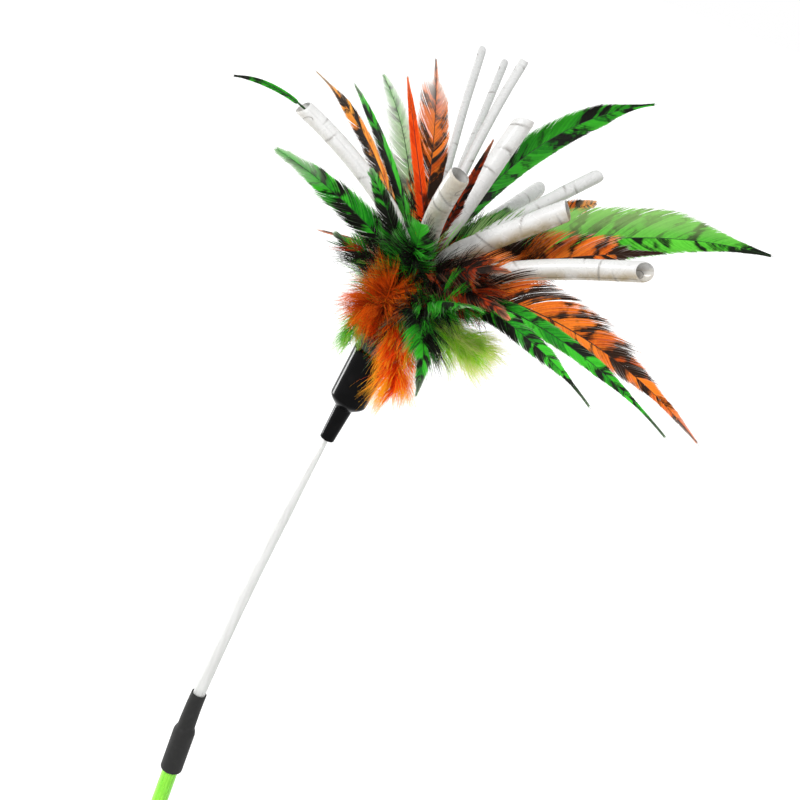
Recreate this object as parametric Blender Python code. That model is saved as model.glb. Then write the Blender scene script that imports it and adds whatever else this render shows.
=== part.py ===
# A feather teaser wand: a tube handle, a soft sleeve, a springy clear rod and a cap full of feathers.
# The butt face of the handle lies at the origin and the wand stands along +Z. The rod curves toward +X.
# Feathers, film tubes and fluff fan out of one bundle, which stands in the cap on a plug of glue.
# Lengths are in metres and angles in degrees.

import math

import bmesh
import bpy
from mathutils import Matrix, Vector

# Clearance between pieces that touch, the distance at which doubled corners become one,
# and the number of sides or steps of round pieces and curved lines
GAP = 0.0003
WELD = 0.00002
HANDLE_SIDES = 24
ROD_SIDES = 16
CAP_SIDES = 28
VANE_SIDES = 6
TUBE_SIDES = 10
FLUFF_SIDES = 8
ROUND_STEPS = 4
LIP_STEPS = 2
NECK_STEPS = 3
ROD_STEPS = 14
SPINE_STEPS = 24
PATH_STEPS = 60

# Handle and its butt cap
HANDLE_LENGTH = 0.278
HANDLE_DIAMETER = 0.0076
HANDLE_WALL = 0.0014
BUTT_CAP_WALL = 0.0015
BUTT_CAP_LENGTH = 0.026
BUTT_CAP_FLOOR = 0.0032
BUTT_CAP_EDGE_RADIUS = 0.0022

# Coupling sleeve: its body grips the handle and rises past it, and its neck grips the clear rod.
# Between the two the bore narrows over the length of a step.
SLEEVE_GRIP_LENGTH = 0.0166
SLEEVE_BODY_RISE = 0.0084
SLEEVE_BORE_STEP = 0.0043
SLEEVE_NECK_LENGTH = 0.019
SLEEVE_BODY_WALL = 0.0012
SLEEVE_EDGE_RADIUS = 0.0012
SLEEVE_SHOULDER_LENGTH = 0.0035
SLEEVE_NECK_FOOT_WALL = 0.00085
SLEEVE_NECK_MOUTH_WALL = 0.00035
ROD_FIT = 0.0004

# Clear rod: its run from the sleeve's mouth to the cap, its depth in the cap, and its taper
ROD_FREE_LENGTH = 0.142
ROD_CAP_DEPTH = 0.0148
ROD_FOOT_DIAMETER = 0.0059
ROD_KNEE_DIAMETER = 0.0047
ROD_KNEE_SHARE = 0.70
ROD_TIP_DIAMETER = 0.0022
NECK_LEAN = 3.9
CAP_LEAN = 8.2

# Bell cap: a stem on the rod's tip, a shoulder and a cup for the bundle
STEM_LENGTH = 0.0165
STEM_FOOT_DIAMETER = 0.0066
STEM_TOP_DIAMETER = 0.0079
STEM_EDGE_RADIUS = 0.0005
SHOULDER_LENGTH = 0.0050
BELL_LENGTH = 0.0235
BELL_FOOT_DIAMETER = 0.0168
BELL_MOUTH_DIAMETER = 0.0180
BELL_WALL = 0.0011
STEM_BORE_END_GAP = 0.0007

# Glue plug in the cup, and the thread that binds the bundle above the cap's mouth
PLUG_HEIGHT = 0.0070
BINDING_RISE = 0.0010
BINDING_LENGTH = 0.0060
BINDING_WALL = 0.0009
BINDING_FIT = 0.0004

# Bundle: quills stand in rings, given as shares of the cup's inner radius. The rings leave the bundle
# one after another above the binding: the rim first, then the outer, the middle and the inner ring.
QUILL_DIAMETER = 0.0010
FLUFF_QUILL_DIAMETER = 0.0008
TUBE_STEM_DIAMETER = 0.0015
INNER_RING_SHARE = 0.22
MIDDLE_RING_SHARE = 0.466
OUTER_RING_SHARE = 0.70
RIM_RING_SHARE = 0.89
RIM_FLARE_RISE = 0.0010
OUTER_FLARE_RISE = 0.0110
RING_FLARE_STEP = 0.0070

# Feathers, film tubes and fluff
FEATHER_LENGTH = 0.160
VANE_WIDTH = 0.022
VANE_THICKNESS = 0.0009
FEATHER_TIP_WIDTH = 0.0010
TUBE_LENGTH = 0.110
TUBE_DIAMETER = 0.0090
TUBE_WALL = 0.0006
FLUFF_LENGTH = 0.052
FLUFF_WIDTH = 0.0130
FLUFF_THICKNESS = 0.0065

# Run over which a piece bends from the bundle to its own lean
FLARE_LENGTH = 0.038
FLUFF_FLARE_LENGTH = 0.030

# Stations along a free length, and the width there as shares of the piece's full width
VANE_STATION_SHARES = (0.0, 0.10, 0.20, 0.29, 0.31, 0.42, 0.53, 0.55, 0.66, 0.74, 0.76, 0.86, 0.94, 1.0)
VANE_WIDTH_SHARES = (0.0, 0.10, 0.42, 0.80, 0.72, 1.0, 0.99, 0.90, 0.84, 0.70, 0.62, 0.46, 0.25, 0.0)
TUBE_STATION_SHARES = (0.0, 0.12, 0.22, 0.32, 0.42, 0.62, 0.83, 0.84, 0.85, 0.91, 0.92, 0.93, 1.0)
TUBE_WIDTH_SHARES = (0.0, 0.02, 0.20, 0.75, 1.0, 1.0, 1.0, 1.07, 1.0, 1.0, 1.07, 1.0, 1.0)
BORE_STATION_SHARES = (1.0, 0.62, 0.46)
FLUFF_STATION_SHARES = (0.0, 0.12, 0.28, 0.46, 0.64, 0.82, 1.0)
FLUFF_WIDTH_SHARES = (0.0, 0.12, 0.24, 0.60, 1.0, 0.80, 0.15)

# Each feather: ring, turn about the cap's axis, lean from it, further droop and swing by the tip,
# roll of the vane about its own line, length share, width share and colour
FEATHERS = {
    "feather_red_short": ("inner", -60, 0, 0, 0, 0, 0.46, 0.26, "red"),
    "feather_red_plain": ("inner", 165, 36, 2, 0, 80, 0.57, 0.38, "red"),
    "feather_orange_upright": ("middle", 125, 34, 25, 0, 0, 0.78, 0.58, "orange"),
    "feather_green_crown": ("middle", 57, 45, 4, 0, 10, 0.42, 0.36, "green"),
    "feather_green_long_upper": ("middle", 82, 22, 44, -46, 80, 1.03, 0.78, "green"),
    "feather_green_narrow_left": ("middle", 148, 42, 25, 0, 60, 0.65, 0.50, "green"),
    "feather_green_front": ("outer", -102, 50, -4, 0, 0, 0.38, 0.36, "green"),
    "feather_green_wispy": ("outer", 130, 34, 42, 0, 30, 0.81, 0.40, "pale_green"),
    "feather_orange_left": ("outer", 150, 38, 48, 0, 60, 0.82, 0.48, "orange"),
    "feather_green_left": ("outer", 180, 60, 26, 0, 90, 0.58, 0.60, "green"),
    "feather_green_front_left": ("outer", -150, 38, 14, 0, 60, 0.45, 0.50, "green"),
    "feather_orange_front": ("outer", -50, 38, 32, 0, 45, 0.48, 0.45, "orange"),
    "feather_red_front_right": ("outer", -47, 48, 45, 0, 30, 0.48, 0.50, "red"),
    "feather_red_front_left": ("outer", -176, 90, 14, 0, 60, 0.26, 0.26, "red"),
    "feather_green_lower_inner": ("outer", -38, 66, 40, 0, 60, 0.75, 0.50, "green"),
    "feather_green_lower_outer": ("outer", -30, 64, 42, 0, 70, 0.92, 0.45, "green"),
    "feather_orange_long_lower": ("outer", -24, 58, 52, 0, 75, 0.98, 0.90, "orange"),
    "feather_dark_right": ("outer", 4, 44, 18, 0, 75, 0.75, 0.60, "orange"),
    "feather_green_long_right": ("outer", 20, 40, 44, 0, 80, 1.13, 1.0, "green"),
    "feather_orange_back_right": ("outer", 60, 60, 14, 0, 60, 0.92, 0.65, "orange"),
    "feather_green_back_right": ("outer", 42, 92, 12, 0, 0, 0.56, 0.50, "green"),
    "feather_red_back": ("outer", 70, 114, 12, 0, 10, 0.50, 0.45, "red"),
    "feather_green_back": ("outer", 102, 72, 16, 0, 10, 0.62, 0.60, "green"),
    "feather_orange_back_left": ("outer", 134, 100, 12, 0, 10, 0.50, 0.60, "orange"),
    "feather_green_spiky_left": ("rim", -178, 60, 20, 0, 70, 0.32, 0.36, "green"),
    "feather_green_hanging": ("rim", -80, 60, 85, -6, 0, 0.50, 0.48, "green"),
    "feather_green_front_low": ("rim", -66, 42, 36, 0, 20, 0.42, 0.48, "green"),
}

# A thin feather stands in the bore of the left tube and curls away past its end
THREADED_FEATHER = "feather_green_thin"
THREADED_TUBE = "tube_left"
THREADED_LENGTH = 0.032
THREADED_WIDTH = 0.0045
THREADED_DROOP = 34
THREADED_ROLL = 60

# Each tube: ring, turn, lean, droop, swing, length share and diameter share
TUBES = {
    "tube_upper_wide": ("inner", 70, 16, 4, 0, 0.80, 0.97),
    "tube_upper": ("inner", 104, 34, 0, -20, 1.08, 0.50),
    "tube_front": ("middle", -130, 37, -10, 50, 0.66, 1.05),
    "tube_right": ("middle", -3, 36, 4, 0, 0.76, 1.05),
    "tube_right_pale": ("middle", 40, 40, 6, 0, 0.97, 0.70),
    "tube_rear_right": ("middle", 66, 58, 2, 0, 0.90, 0.80),
    "tube_rear_thin": ("middle", 96, 50, 0, 0, 1.30, 0.42),
    "tube_rear_thin_long": ("middle", 104, 46, 0, 0, 1.24, 0.45),
    "tube_left": ("middle", 168, 52, 28, 0, 0.93, 0.87),
    "tube_lower_right": ("outer", -10, 46, 18, 0, 1.04, 1.0),
}

# Each fluff: turn, lean at its end, length share and colour
FLUFFS = {
    "fluff_orange_front": (-92, 150, 0.95, "fluff_orange"),
    "fluff_orange_upper": (-112, 48, 0.75, "fluff_orange"),
    "fluff_orange_left": (-158, 108, 0.80, "fluff_orange"),
    "fluff_green_left": (-198, 130, 0.65, "fluff_green"),
    "fluff_green_back_left": (128, 74, 0.85, "fluff_green"),
    "fluff_orange_back": (92, 140, 0.85, "fluff_orange"),
    "fluff_green_back_right": (60, 98, 0.85, "fluff_green"),
    "fluff_green_right": (18, 82, 1.0, "fluff_green"),
    "fluff_yellow_right": (-14, 98, 1.10, "fluff_green"),
    "fluff_green_front_right": (-46, 114, 1.0, "fluff_green"),
}

COLOURS = {
    "handle": (0.30, 0.82, 0.12),
    "sleeve": (0.030, 0.030, 0.029),
    "cap": (0.006, 0.006, 0.006),
    "rod": (0.86, 0.87, 0.86),
    "glue": (0.80, 0.76, 0.62),
    "thread": (0.05, 0.05, 0.05),
    "film": (0.86, 0.85, 0.82),
    "green": (0.02, 0.34, 0.04),
    "pale_green": (0.32, 0.55, 0.22),
    "orange": (0.80, 0.20, 0.03),
    "red": (0.75, 0.08, 0.01),
    "fluff_orange": (0.85, 0.24, 0.05),
    "fluff_green": (0.30, 0.62, 0.10),
}

# Distances along the wand's centre line that follow from the sizes above
HANDLE_FOOT = BUTT_CAP_FLOOR + GAP
HANDLE_TOP = HANDLE_FOOT + HANDLE_LENGTH
SLEEVE_FOOT = HANDLE_TOP - SLEEVE_GRIP_LENGTH
SLEEVE_NECK_FOOT = HANDLE_TOP + SLEEVE_BODY_RISE
SLEEVE_NECK_MIDDLE = SLEEVE_NECK_FOOT + SLEEVE_NECK_LENGTH / 2
SLEEVE_MOUTH = SLEEVE_NECK_FOOT + SLEEVE_NECK_LENGTH
SLEEVE_STEP_FOOT = HANDLE_TOP + GAP
SLEEVE_STEP_TOP = SLEEVE_STEP_FOOT + SLEEVE_BORE_STEP
ROD_FOOT = SLEEVE_STEP_TOP + GAP
CAP_FOOT = SLEEVE_MOUTH + ROD_FREE_LENGTH
ROD_TIP = CAP_FOOT + ROD_CAP_DEPTH

# Heights above the cap's foot, and radii in the cup, that follow from the sizes above
CUP_FLOOR = STEM_LENGTH + SHOULDER_LENGTH
CAP_HEIGHT = CUP_FLOOR + BELL_LENGTH
PLUG_FOOT = CUP_FLOOR + GAP
PLUG_TOP = PLUG_FOOT + PLUG_HEIGHT
QUILL_FOOT = PLUG_TOP + GAP
CUP_RADIUS = BELL_FOOT_DIAMETER / 2 - BELL_WALL
BINDING_FOOT = CAP_HEIGHT + BINDING_RISE
BINDING_TOP = BINDING_FOOT + BINDING_LENGTH
OUTER_FLARE_HEIGHT = BINDING_TOP + OUTER_FLARE_RISE
MIDDLE_FLARE_HEIGHT = OUTER_FLARE_HEIGHT + RING_FLARE_STEP
INNER_FLARE_HEIGHT = MIDDLE_FLARE_HEIGHT + RING_FLARE_STEP
RINGS = {
    "inner": (CUP_RADIUS * INNER_RING_SHARE, INNER_FLARE_HEIGHT),
    "middle": (CUP_RADIUS * MIDDLE_RING_SHARE, MIDDLE_FLARE_HEIGHT),
    "outer": (CUP_RADIUS * OUTER_RING_SHARE, OUTER_FLARE_HEIGHT),
    "rim": (CUP_RADIUS * RIM_RING_SHARE, BINDING_TOP + RIM_FLARE_RISE),
}


def clear_scene():
    for thing in list(bpy.data.objects):
        bpy.data.objects.remove(thing, do_unlink=True)


def material(name, roughness, metallic=0.0):
    made = bpy.data.materials.get(name)
    if made is None:
        made = bpy.data.materials.new(name)
        made.use_nodes = True
        shader = made.node_tree.nodes["Principled BSDF"]
        shader.inputs["Base Color"].default_value = (*COLOURS[name], 1.0)
        shader.inputs["Roughness"].default_value = roughness
        shader.inputs["Metallic"].default_value = metallic
    return made


# A ring is a place, the two directions of its half axes, and their lengths
def ring(place, across, along, half_width, half_depth):
    return place, across.normalized() * half_width, along.normalized() * half_depth


def spread_of(place, across, along):
    spread = Matrix.Identity(4)
    spread.col[0].xyz = across
    spread.col[1].xyz = along
    spread.col[2].xyz = across.cross(along).normalized()
    spread.col[3].xyz = place
    return spread


# A unit circle laid on the first ring is extruded from ring to ring, which makes one closed body.
# A loop returns to its first ring; any other body is capped at both ends.
def lofted(name, rings, sides, surface, parent, loop=False, crease=40):
    mesh = bmesh.new()
    spreads = [spread_of(*each) for each in rings]
    if loop:
        spreads.append(spreads[0])
    bmesh.ops.create_circle(mesh, cap_ends=not loop, segments=sides, radius=1.0, matrix=spreads[0])
    edges = list(mesh.edges)
    for before, after in zip(spreads, spreads[1:]):
        grown = bmesh.ops.extrude_edge_only(mesh, edges=edges)["geom"]
        corners = {item for item in grown if isinstance(item, bmesh.types.BMVert)}
        grown_edges = [item for item in grown if isinstance(item, bmesh.types.BMEdge)]
        edges = [edge for edge in grown_edges if corners.issuperset(edge.verts)]
        bmesh.ops.transform(mesh, matrix=after @ before.inverted(), verts=list(corners))
    if loop:
        bmesh.ops.remove_doubles(mesh, verts=mesh.verts, dist=WELD)
    else:
        bmesh.ops.edgeloop_fill(mesh, edges=edges)
    bmesh.ops.recalc_face_normals(mesh, faces=mesh.faces)
    return placed(name, mesh, surface, parent, crease)


def placed(name, mesh, surface, parent, crease):
    data = bpy.data.meshes.new(name)
    mesh.to_mesh(data)
    mesh.free()
    data.shade_smooth()
    data.set_sharp_from_angle(angle=math.radians(crease))
    data.materials.append(surface)
    made = bpy.data.objects.new(name, data)
    bpy.context.scene.collection.objects.link(made)
    if parent is not None:
        data.transform(parent.matrix_world.inverted())
        made.parent = parent
    return made


def pivot(name, place, parent=None, lean=0.0):
    made = bpy.data.objects.new(name, None)
    bpy.context.scene.collection.objects.link(made)
    world = Matrix.Translation(place) @ Matrix.Rotation(math.radians(lean), 4, "Y")
    made.parent = parent
    if parent is not None:
        made.matrix_parent_inverse = parent.matrix_world.inverted()
    made.matrix_world = world
    bpy.context.view_layer.update()
    return made


# Lean of the wand's centre line at a distance along it
def lean_at(distance):
    if distance <= SLEEVE_NECK_FOOT:
        return 0.0
    if distance <= SLEEVE_MOUTH:
        return NECK_LEAN * (distance - SLEEVE_NECK_FOOT) / SLEEVE_NECK_LENGTH
    return NECK_LEAN + (CAP_LEAN - NECK_LEAN) * min((distance - SLEEVE_MOUTH) / ROD_FREE_LENGTH, 1.0)


# Place of the centre line at a distance along it: each stretch is summed in short straight steps
def spine_at(distance):
    place = Vector((0.0, 0.0, min(distance, SLEEVE_NECK_FOOT)))
    marks = [SLEEVE_NECK_FOOT, SLEEVE_MOUTH, CAP_FOOT]
    ends = [SLEEVE_MOUTH, CAP_FOOT, math.inf]
    for start, end in zip(marks, ends):
        run = min(distance, end) - start
        if run <= 0.0:
            break
        step = run / SPINE_STEPS
        for index in range(SPINE_STEPS):
            lean = math.radians(lean_at(start + step * (index + 0.5)))
            place += Vector((math.sin(lean), 0.0, math.cos(lean))) * step
    return place


def spine_ring(distance, radius):
    lean = math.radians(lean_at(distance))
    across = Vector((math.cos(lean), 0.0, -math.sin(lean)))
    return ring(spine_at(distance), across, Vector((0.0, 1.0, 0.0)), radius, radius)


# Quarter round between the foot face of a piece and its side, as pairs of height and radius
def rounded_foot(height, radius, edge, steps=ROUND_STEPS):
    pairs = []
    for index in range(steps + 1):
        angle = math.radians(90) * index / steps
        pairs.append((height + edge * (1 - math.cos(angle)), radius - edge * (1 - math.sin(angle))))
    return pairs


# The same between its side and its top face
def rounded_top(height, radius, edge, steps=ROUND_STEPS):
    pairs = []
    for index in range(steps + 1):
        angle = math.radians(90) * index / steps
        pairs.append((height - edge * (1 - math.sin(angle)), radius - edge * (1 - math.cos(angle))))
    return pairs


# Full-bodied shoulder from a narrow end to a wide one
def shoulder(narrow_height, wide_height, narrow, wide):
    pairs = []
    for index in range(ROUND_STEPS + 1):
        share = index / ROUND_STEPS
        height = narrow_height + (wide_height - narrow_height) * share
        pairs.append((height, narrow + (wide - narrow) * math.sin(math.radians(90) * share)))
    return pairs


def rod_radius(distance):
    share = (distance - SLEEVE_MOUTH) / ROD_FREE_LENGTH
    if share <= 0.0:
        return ROD_FOOT_DIAMETER / 2
    if share <= ROD_KNEE_SHARE:
        rise = share / ROD_KNEE_SHARE
        return (ROD_FOOT_DIAMETER + (ROD_KNEE_DIAMETER - ROD_FOOT_DIAMETER) * rise) / 2
    rise = min((share - ROD_KNEE_SHARE) / (1.0 - ROD_KNEE_SHARE), 1.0)
    return (ROD_KNEE_DIAMETER + (ROD_TIP_DIAMETER - ROD_KNEE_DIAMETER) * rise) / 2


def make_handle():
    radius = HANDLE_DIAMETER / 2
    bore = radius - HANDLE_WALL
    profile = [(HANDLE_FOOT, radius), (HANDLE_TOP, radius), (HANDLE_TOP, bore), (HANDLE_FOOT, bore)]
    rings = [spine_ring(height, size) for height, size in profile]
    lofted("handle_rod", rings, HANDLE_SIDES, material("handle", 0.25), None, loop=True)


def make_butt_cap():
    bore = HANDLE_DIAMETER / 2 + GAP
    outer = bore + BUTT_CAP_WALL
    profile = rounded_foot(0.0, outer, BUTT_CAP_EDGE_RADIUS)
    profile += rounded_top(BUTT_CAP_LENGTH, outer, BUTT_CAP_WALL / 2)
    profile += [(BUTT_CAP_LENGTH, bore), (BUTT_CAP_FLOOR, bore)]
    rings = [spine_ring(height, size) for height, size in profile]
    lofted("butt_cap", rings, HANDLE_SIDES, material("sleeve", 0.7), None)


def make_sleeve():
    handle_bore = HANDLE_DIAMETER / 2 + GAP
    rod_bore = ROD_FOOT_DIAMETER / 2 + ROD_FIT
    body = handle_bore + SLEEVE_BODY_WALL
    neck = rod_bore + SLEEVE_NECK_FOOT_WALL
    mouth = rod_bore + SLEEVE_NECK_MOUTH_WALL
    profile = [(SLEEVE_FOOT, handle_bore)]
    profile += rounded_foot(SLEEVE_FOOT, body, SLEEVE_EDGE_RADIUS)
    profile += reversed(shoulder(SLEEVE_NECK_FOOT, SLEEVE_NECK_FOOT - SLEEVE_SHOULDER_LENGTH, neck, body))
    for index in range(1, NECK_STEPS):
        share = index / NECK_STEPS
        profile.append((SLEEVE_NECK_FOOT + SLEEVE_NECK_LENGTH * share, neck + (mouth - neck) * share))
    profile += rounded_top(SLEEVE_MOUTH, mouth, SLEEVE_NECK_MOUTH_WALL / 2, LIP_STEPS)
    profile += [(SLEEVE_MOUTH, rod_bore), (SLEEVE_NECK_MIDDLE, rod_bore)]
    profile += [(SLEEVE_STEP_TOP, rod_bore), (SLEEVE_STEP_FOOT, handle_bore)]
    rings = [spine_ring(height, size) for height, size in profile]
    lofted("coupling_sleeve", rings, HANDLE_SIDES, material("sleeve", 0.7), None, loop=True)


def make_rod(parent):
    distances = [ROD_FOOT, SLEEVE_NECK_FOOT, SLEEVE_NECK_MIDDLE]
    for index in range(ROD_STEPS + 1):
        distances.append(SLEEVE_MOUTH + ROD_FREE_LENGTH * index / ROD_STEPS)
    distances.append(ROD_TIP)
    rings = [spine_ring(distance, rod_radius(distance)) for distance in distances]
    lofted("clear_rod", rings, ROD_SIDES, material("rod", 0.35), parent)


# A turned piece on the cap's axis, from pairs of height above the cap's foot and radius
def turned(name, profile, sides, surface, parent, frame, loop=False):
    across = frame.to_3x3() @ Vector((1.0, 0.0, 0.0))
    along = frame.to_3x3() @ Vector((0.0, 1.0, 0.0))
    rings = []
    for height, radius in profile:
        rings.append(ring(frame @ Vector((0.0, 0.0, height)), across, along, radius, radius))
    lofted(name, rings, sides, surface, parent, loop)


def make_bell(parent, frame):
    stem = STEM_FOOT_DIAMETER / 2
    waist = STEM_TOP_DIAMETER / 2
    foot = BELL_FOOT_DIAMETER / 2
    mouth = BELL_MOUTH_DIAMETER / 2
    bore = ROD_TIP_DIAMETER / 2 + GAP
    cup = mouth - BELL_WALL
    profile = [(ROD_CAP_DEPTH + STEM_BORE_END_GAP, bore), (0.0, bore)]
    profile += rounded_foot(0.0, stem, STEM_EDGE_RADIUS, LIP_STEPS)
    profile += shoulder(STEM_LENGTH, CUP_FLOOR, waist, foot)
    profile += [(CUP_FLOOR + BELL_LENGTH / 2, (foot + mouth) / 2)]
    profile += rounded_top(CAP_HEIGHT, mouth, BELL_WALL / 2, LIP_STEPS)
    profile += [(CAP_HEIGHT, cup), (CUP_FLOOR, CUP_RADIUS)]
    turned("bell_cap", profile, CAP_SIDES, material("cap", 0.12), parent, frame)


def make_plug(parent, frame):
    foot = CUP_RADIUS - GAP
    top = foot + (BELL_MOUTH_DIAMETER - BELL_FOOT_DIAMETER) / 2 * PLUG_HEIGHT / BELL_LENGTH
    profile = [(PLUG_FOOT, foot), (PLUG_TOP, top)]
    turned("glue_plug", profile, CAP_SIDES, material("glue", 0.4), parent, frame)


def make_binding(parent, frame):
    inner = RINGS["rim"][0] + QUILL_DIAMETER / 2 + BINDING_FIT
    outer = inner + BINDING_WALL
    profile = [(BINDING_FOOT, outer), (BINDING_TOP, outer), (BINDING_TOP, inner), (BINDING_FOOT, inner)]
    turned("binding_thread", profile, CAP_SIDES, material("thread", 0.8), parent, frame, loop=True)


# Slots around a ring, in the order of the pieces' turns and as near them as even spacing allows
def slots():
    members = {name: [] for name in RINGS}
    for name, row in {**FEATHERS, **TUBES}.items():
        members[row[0]].append((row[1], name))
    for name, row in FLUFFS.items():
        members["rim"].append((row[0], name))
    found = {}
    for listed in members.values():
        listed.sort()
        spacing = 360 / len(listed)
        offset = sum(turn - spacing * index for index, (turn, _) in enumerate(listed)) / len(listed)
        for index, (_, name) in enumerate(listed):
            found[name] = offset + spacing * index
    return found


# Centre line of a piece beyond its ring, as places and directions at even steps of its free length
def free_path(slot, ring_name, turn, lean, droop, swing, length, flare):
    radius, height = RINGS[ring_name]
    angle = math.radians(slot)
    place = Vector((math.cos(angle) * radius, math.sin(angle) * radius, height))
    step = length / PATH_STEPS
    path = []
    for index in range(PATH_STEPS + 1):
        share = index / PATH_STEPS
        rise = min(length * share / flare, 1.0)
        tilt = math.radians(lean * (1 - math.cos(math.pi * rise)) / 2 + droop * share)
        heading = math.radians(turn + swing * share)
        outward = Vector((math.cos(heading), math.sin(heading), 0.0))
        direction = outward * math.sin(tilt) + Vector((0.0, 0.0, math.cos(tilt)))
        sideways = Vector((-math.sin(heading), math.cos(heading), 0.0))
        path.append((place.copy(), direction, sideways))
        place += direction * step
    return path


# Ring at one point of a path, rolled about the path's direction and carried into the cap's frame
def path_ring(point, roll, half_width, half_depth, frame):
    place, direction, sideways = point
    upright = direction.cross(sideways)
    angle = math.radians(roll)
    across = sideways * math.cos(angle) + upright * math.sin(angle)
    heading = frame.to_3x3()
    return ring(frame @ place, heading @ across, heading @ direction.cross(across), half_width, half_depth)


# The foot of a quill, straight below the path's start
def root_ring(path, roll, radius, frame):
    place, direction, sideways = path[0]
    foot = Vector((place.x, place.y, QUILL_FOOT))
    return path_ring((foot, direction, sideways), roll, radius, radius, frame)


def point_at(path, share):
    return path[round(share * PATH_STEPS)]


def make_feather(name, row, slot, parent, frame):
    ring_name, turn, lean, droop, swing, roll, length_share, width_share, colour = row
    length = FEATHER_LENGTH * length_share
    path = free_path(slot, ring_name, turn, lean, droop, swing, length, FLARE_LENGTH)
    quill = QUILL_DIAMETER / 2
    rings = [root_ring(path, roll, quill, frame)]
    for station, share in zip(VANE_STATION_SHARES, VANE_WIDTH_SHARES):
        least = quill if station < 1.0 else FEATHER_TIP_WIDTH / 2
        half_width = max(VANE_WIDTH / 2 * width_share * share, least)
        half_depth = quill if share == 0.0 and station < 1.0 else VANE_THICKNESS / 2
        rings.append(path_ring(point_at(path, station), roll, half_width, half_depth, frame))
    lofted(name, rings, VANE_SIDES, material(colour, 0.6), parent, crease=30)


def tube_path(name, slot):
    ring_name, turn, lean, droop, swing, length_share, _ = TUBES[name]
    length = TUBE_LENGTH * length_share
    return free_path(slot, ring_name, turn, lean, droop, swing, length, FLARE_LENGTH)


def make_tube(name, slot, parent, frame):
    path = tube_path(name, slot)
    stem = TUBE_STEM_DIAMETER / 2
    radius = TUBE_DIAMETER / 2 * TUBES[name][-1]
    bore = radius - TUBE_WALL
    rings = [root_ring(path, 0, stem, frame)]
    for station, share in zip(TUBE_STATION_SHARES, TUBE_WIDTH_SHARES):
        size = max(radius * share, stem)
        rings.append(path_ring(point_at(path, station), 0, size, size, frame))
    for station in BORE_STATION_SHARES:
        rings.append(path_ring(point_at(path, station), 0, bore, bore, frame))
    lofted(name, rings, TUBE_SIDES, material("film", 0.35), parent)


# The threaded feather stands on the floor of its tube's bore, runs to the tube's end and bends past it
def make_threaded_feather(slot, parent, frame):
    path = tube_path(THREADED_TUBE, slot)
    place, direction, sideways = point_at(path, BORE_STATION_SHARES[-1])
    foot = (place + direction * GAP, direction, sideways)
    quill = QUILL_DIAMETER / 2
    rings = [path_ring(foot, THREADED_ROLL, quill, quill, frame)]
    place, direction, sideways = path[-1]
    axis = direction.cross(Vector((0.0, 0.0, -1.0))).normalized()
    before = 0.0
    for station, share in zip(VANE_STATION_SHARES, VANE_WIDTH_SHARES):
        bent = Matrix.Rotation(math.radians(THREADED_DROOP) * station, 3, axis) @ direction
        place = place + bent * THREADED_LENGTH * (station - before)
        before = station
        least = quill if station < 1.0 else FEATHER_TIP_WIDTH / 2
        half_width = max(THREADED_WIDTH / 2 * share, least)
        point = (place, bent, sideways)
        rings.append(path_ring(point, THREADED_ROLL, half_width, VANE_THICKNESS / 2, frame))
    lofted(THREADED_FEATHER, rings, VANE_SIDES, material("green", 0.6), parent, crease=30)


def make_fluff(name, row, slot, parent, frame):
    turn, lean, length_share, colour = row
    length = FLUFF_LENGTH * length_share
    path = free_path(slot, "rim", turn, lean, 0, 0, length, FLUFF_FLARE_LENGTH)
    quill = FLUFF_QUILL_DIAMETER / 2
    rings = [root_ring(path, 0, quill, frame)]
    for station, share in zip(FLUFF_STATION_SHARES, FLUFF_WIDTH_SHARES):
        half_width = max(FLUFF_WIDTH / 2 * share, quill)
        half_depth = max(FLUFF_THICKNESS / 2 * share, quill)
        rings.append(path_ring(point_at(path, station), 0, half_width, half_depth, frame))
    lofted(name, rings, FLUFF_SIDES, material(colour, 0.9), parent, crease=60)


def main():
    clear_scene()
    make_handle()
    make_butt_cap()
    make_sleeve()
    coupling = pivot("coupling_pivot", spine_at(SLEEVE_NECK_MIDDLE))
    make_rod(coupling)
    flex = pivot("rod_flex_pivot", spine_at(SLEEVE_MOUTH + ROD_FREE_LENGTH / 2), coupling)
    head = pivot("cap_frame", spine_at(CAP_FOOT), flex, CAP_LEAN)
    frame = head.matrix_world.copy()
    make_bell(head, frame)
    make_plug(head, frame)
    make_binding(head, frame)
    found = slots()
    for name, row in FEATHERS.items():
        make_feather(name, row, found[name], head, frame)
    for name in TUBES:
        make_tube(name, found[name], head, frame)
    make_threaded_feather(found[THREADED_TUBE], head, frame)
    for name, row in FLUFFS.items():
        make_fluff(name, row, found[name], head, frame)


main()
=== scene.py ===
import math
from functools import cache

import bmesh
import bpy
import numpy as np
from mathutils import Matrix, Vector


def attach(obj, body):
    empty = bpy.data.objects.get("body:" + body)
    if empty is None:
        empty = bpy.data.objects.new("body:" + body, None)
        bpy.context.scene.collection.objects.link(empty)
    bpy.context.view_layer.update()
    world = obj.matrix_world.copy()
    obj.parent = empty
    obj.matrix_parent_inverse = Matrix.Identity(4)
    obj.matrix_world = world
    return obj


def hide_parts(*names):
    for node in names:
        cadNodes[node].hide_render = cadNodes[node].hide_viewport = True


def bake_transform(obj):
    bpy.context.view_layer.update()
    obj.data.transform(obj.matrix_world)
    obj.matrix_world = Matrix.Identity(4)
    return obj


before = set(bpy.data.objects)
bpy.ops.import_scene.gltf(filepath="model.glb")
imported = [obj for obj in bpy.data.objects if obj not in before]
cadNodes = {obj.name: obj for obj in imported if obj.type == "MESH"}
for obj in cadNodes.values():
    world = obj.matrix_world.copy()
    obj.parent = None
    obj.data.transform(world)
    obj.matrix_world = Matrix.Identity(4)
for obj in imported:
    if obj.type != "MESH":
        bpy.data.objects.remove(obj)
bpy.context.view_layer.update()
print("frame loaded with", len(cadNodes), "nodes")


def addObject(name, data):
    made = bpy.data.objects.new(name, data)
    bpy.context.scene.collection.objects.link(made)
    return made


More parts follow.
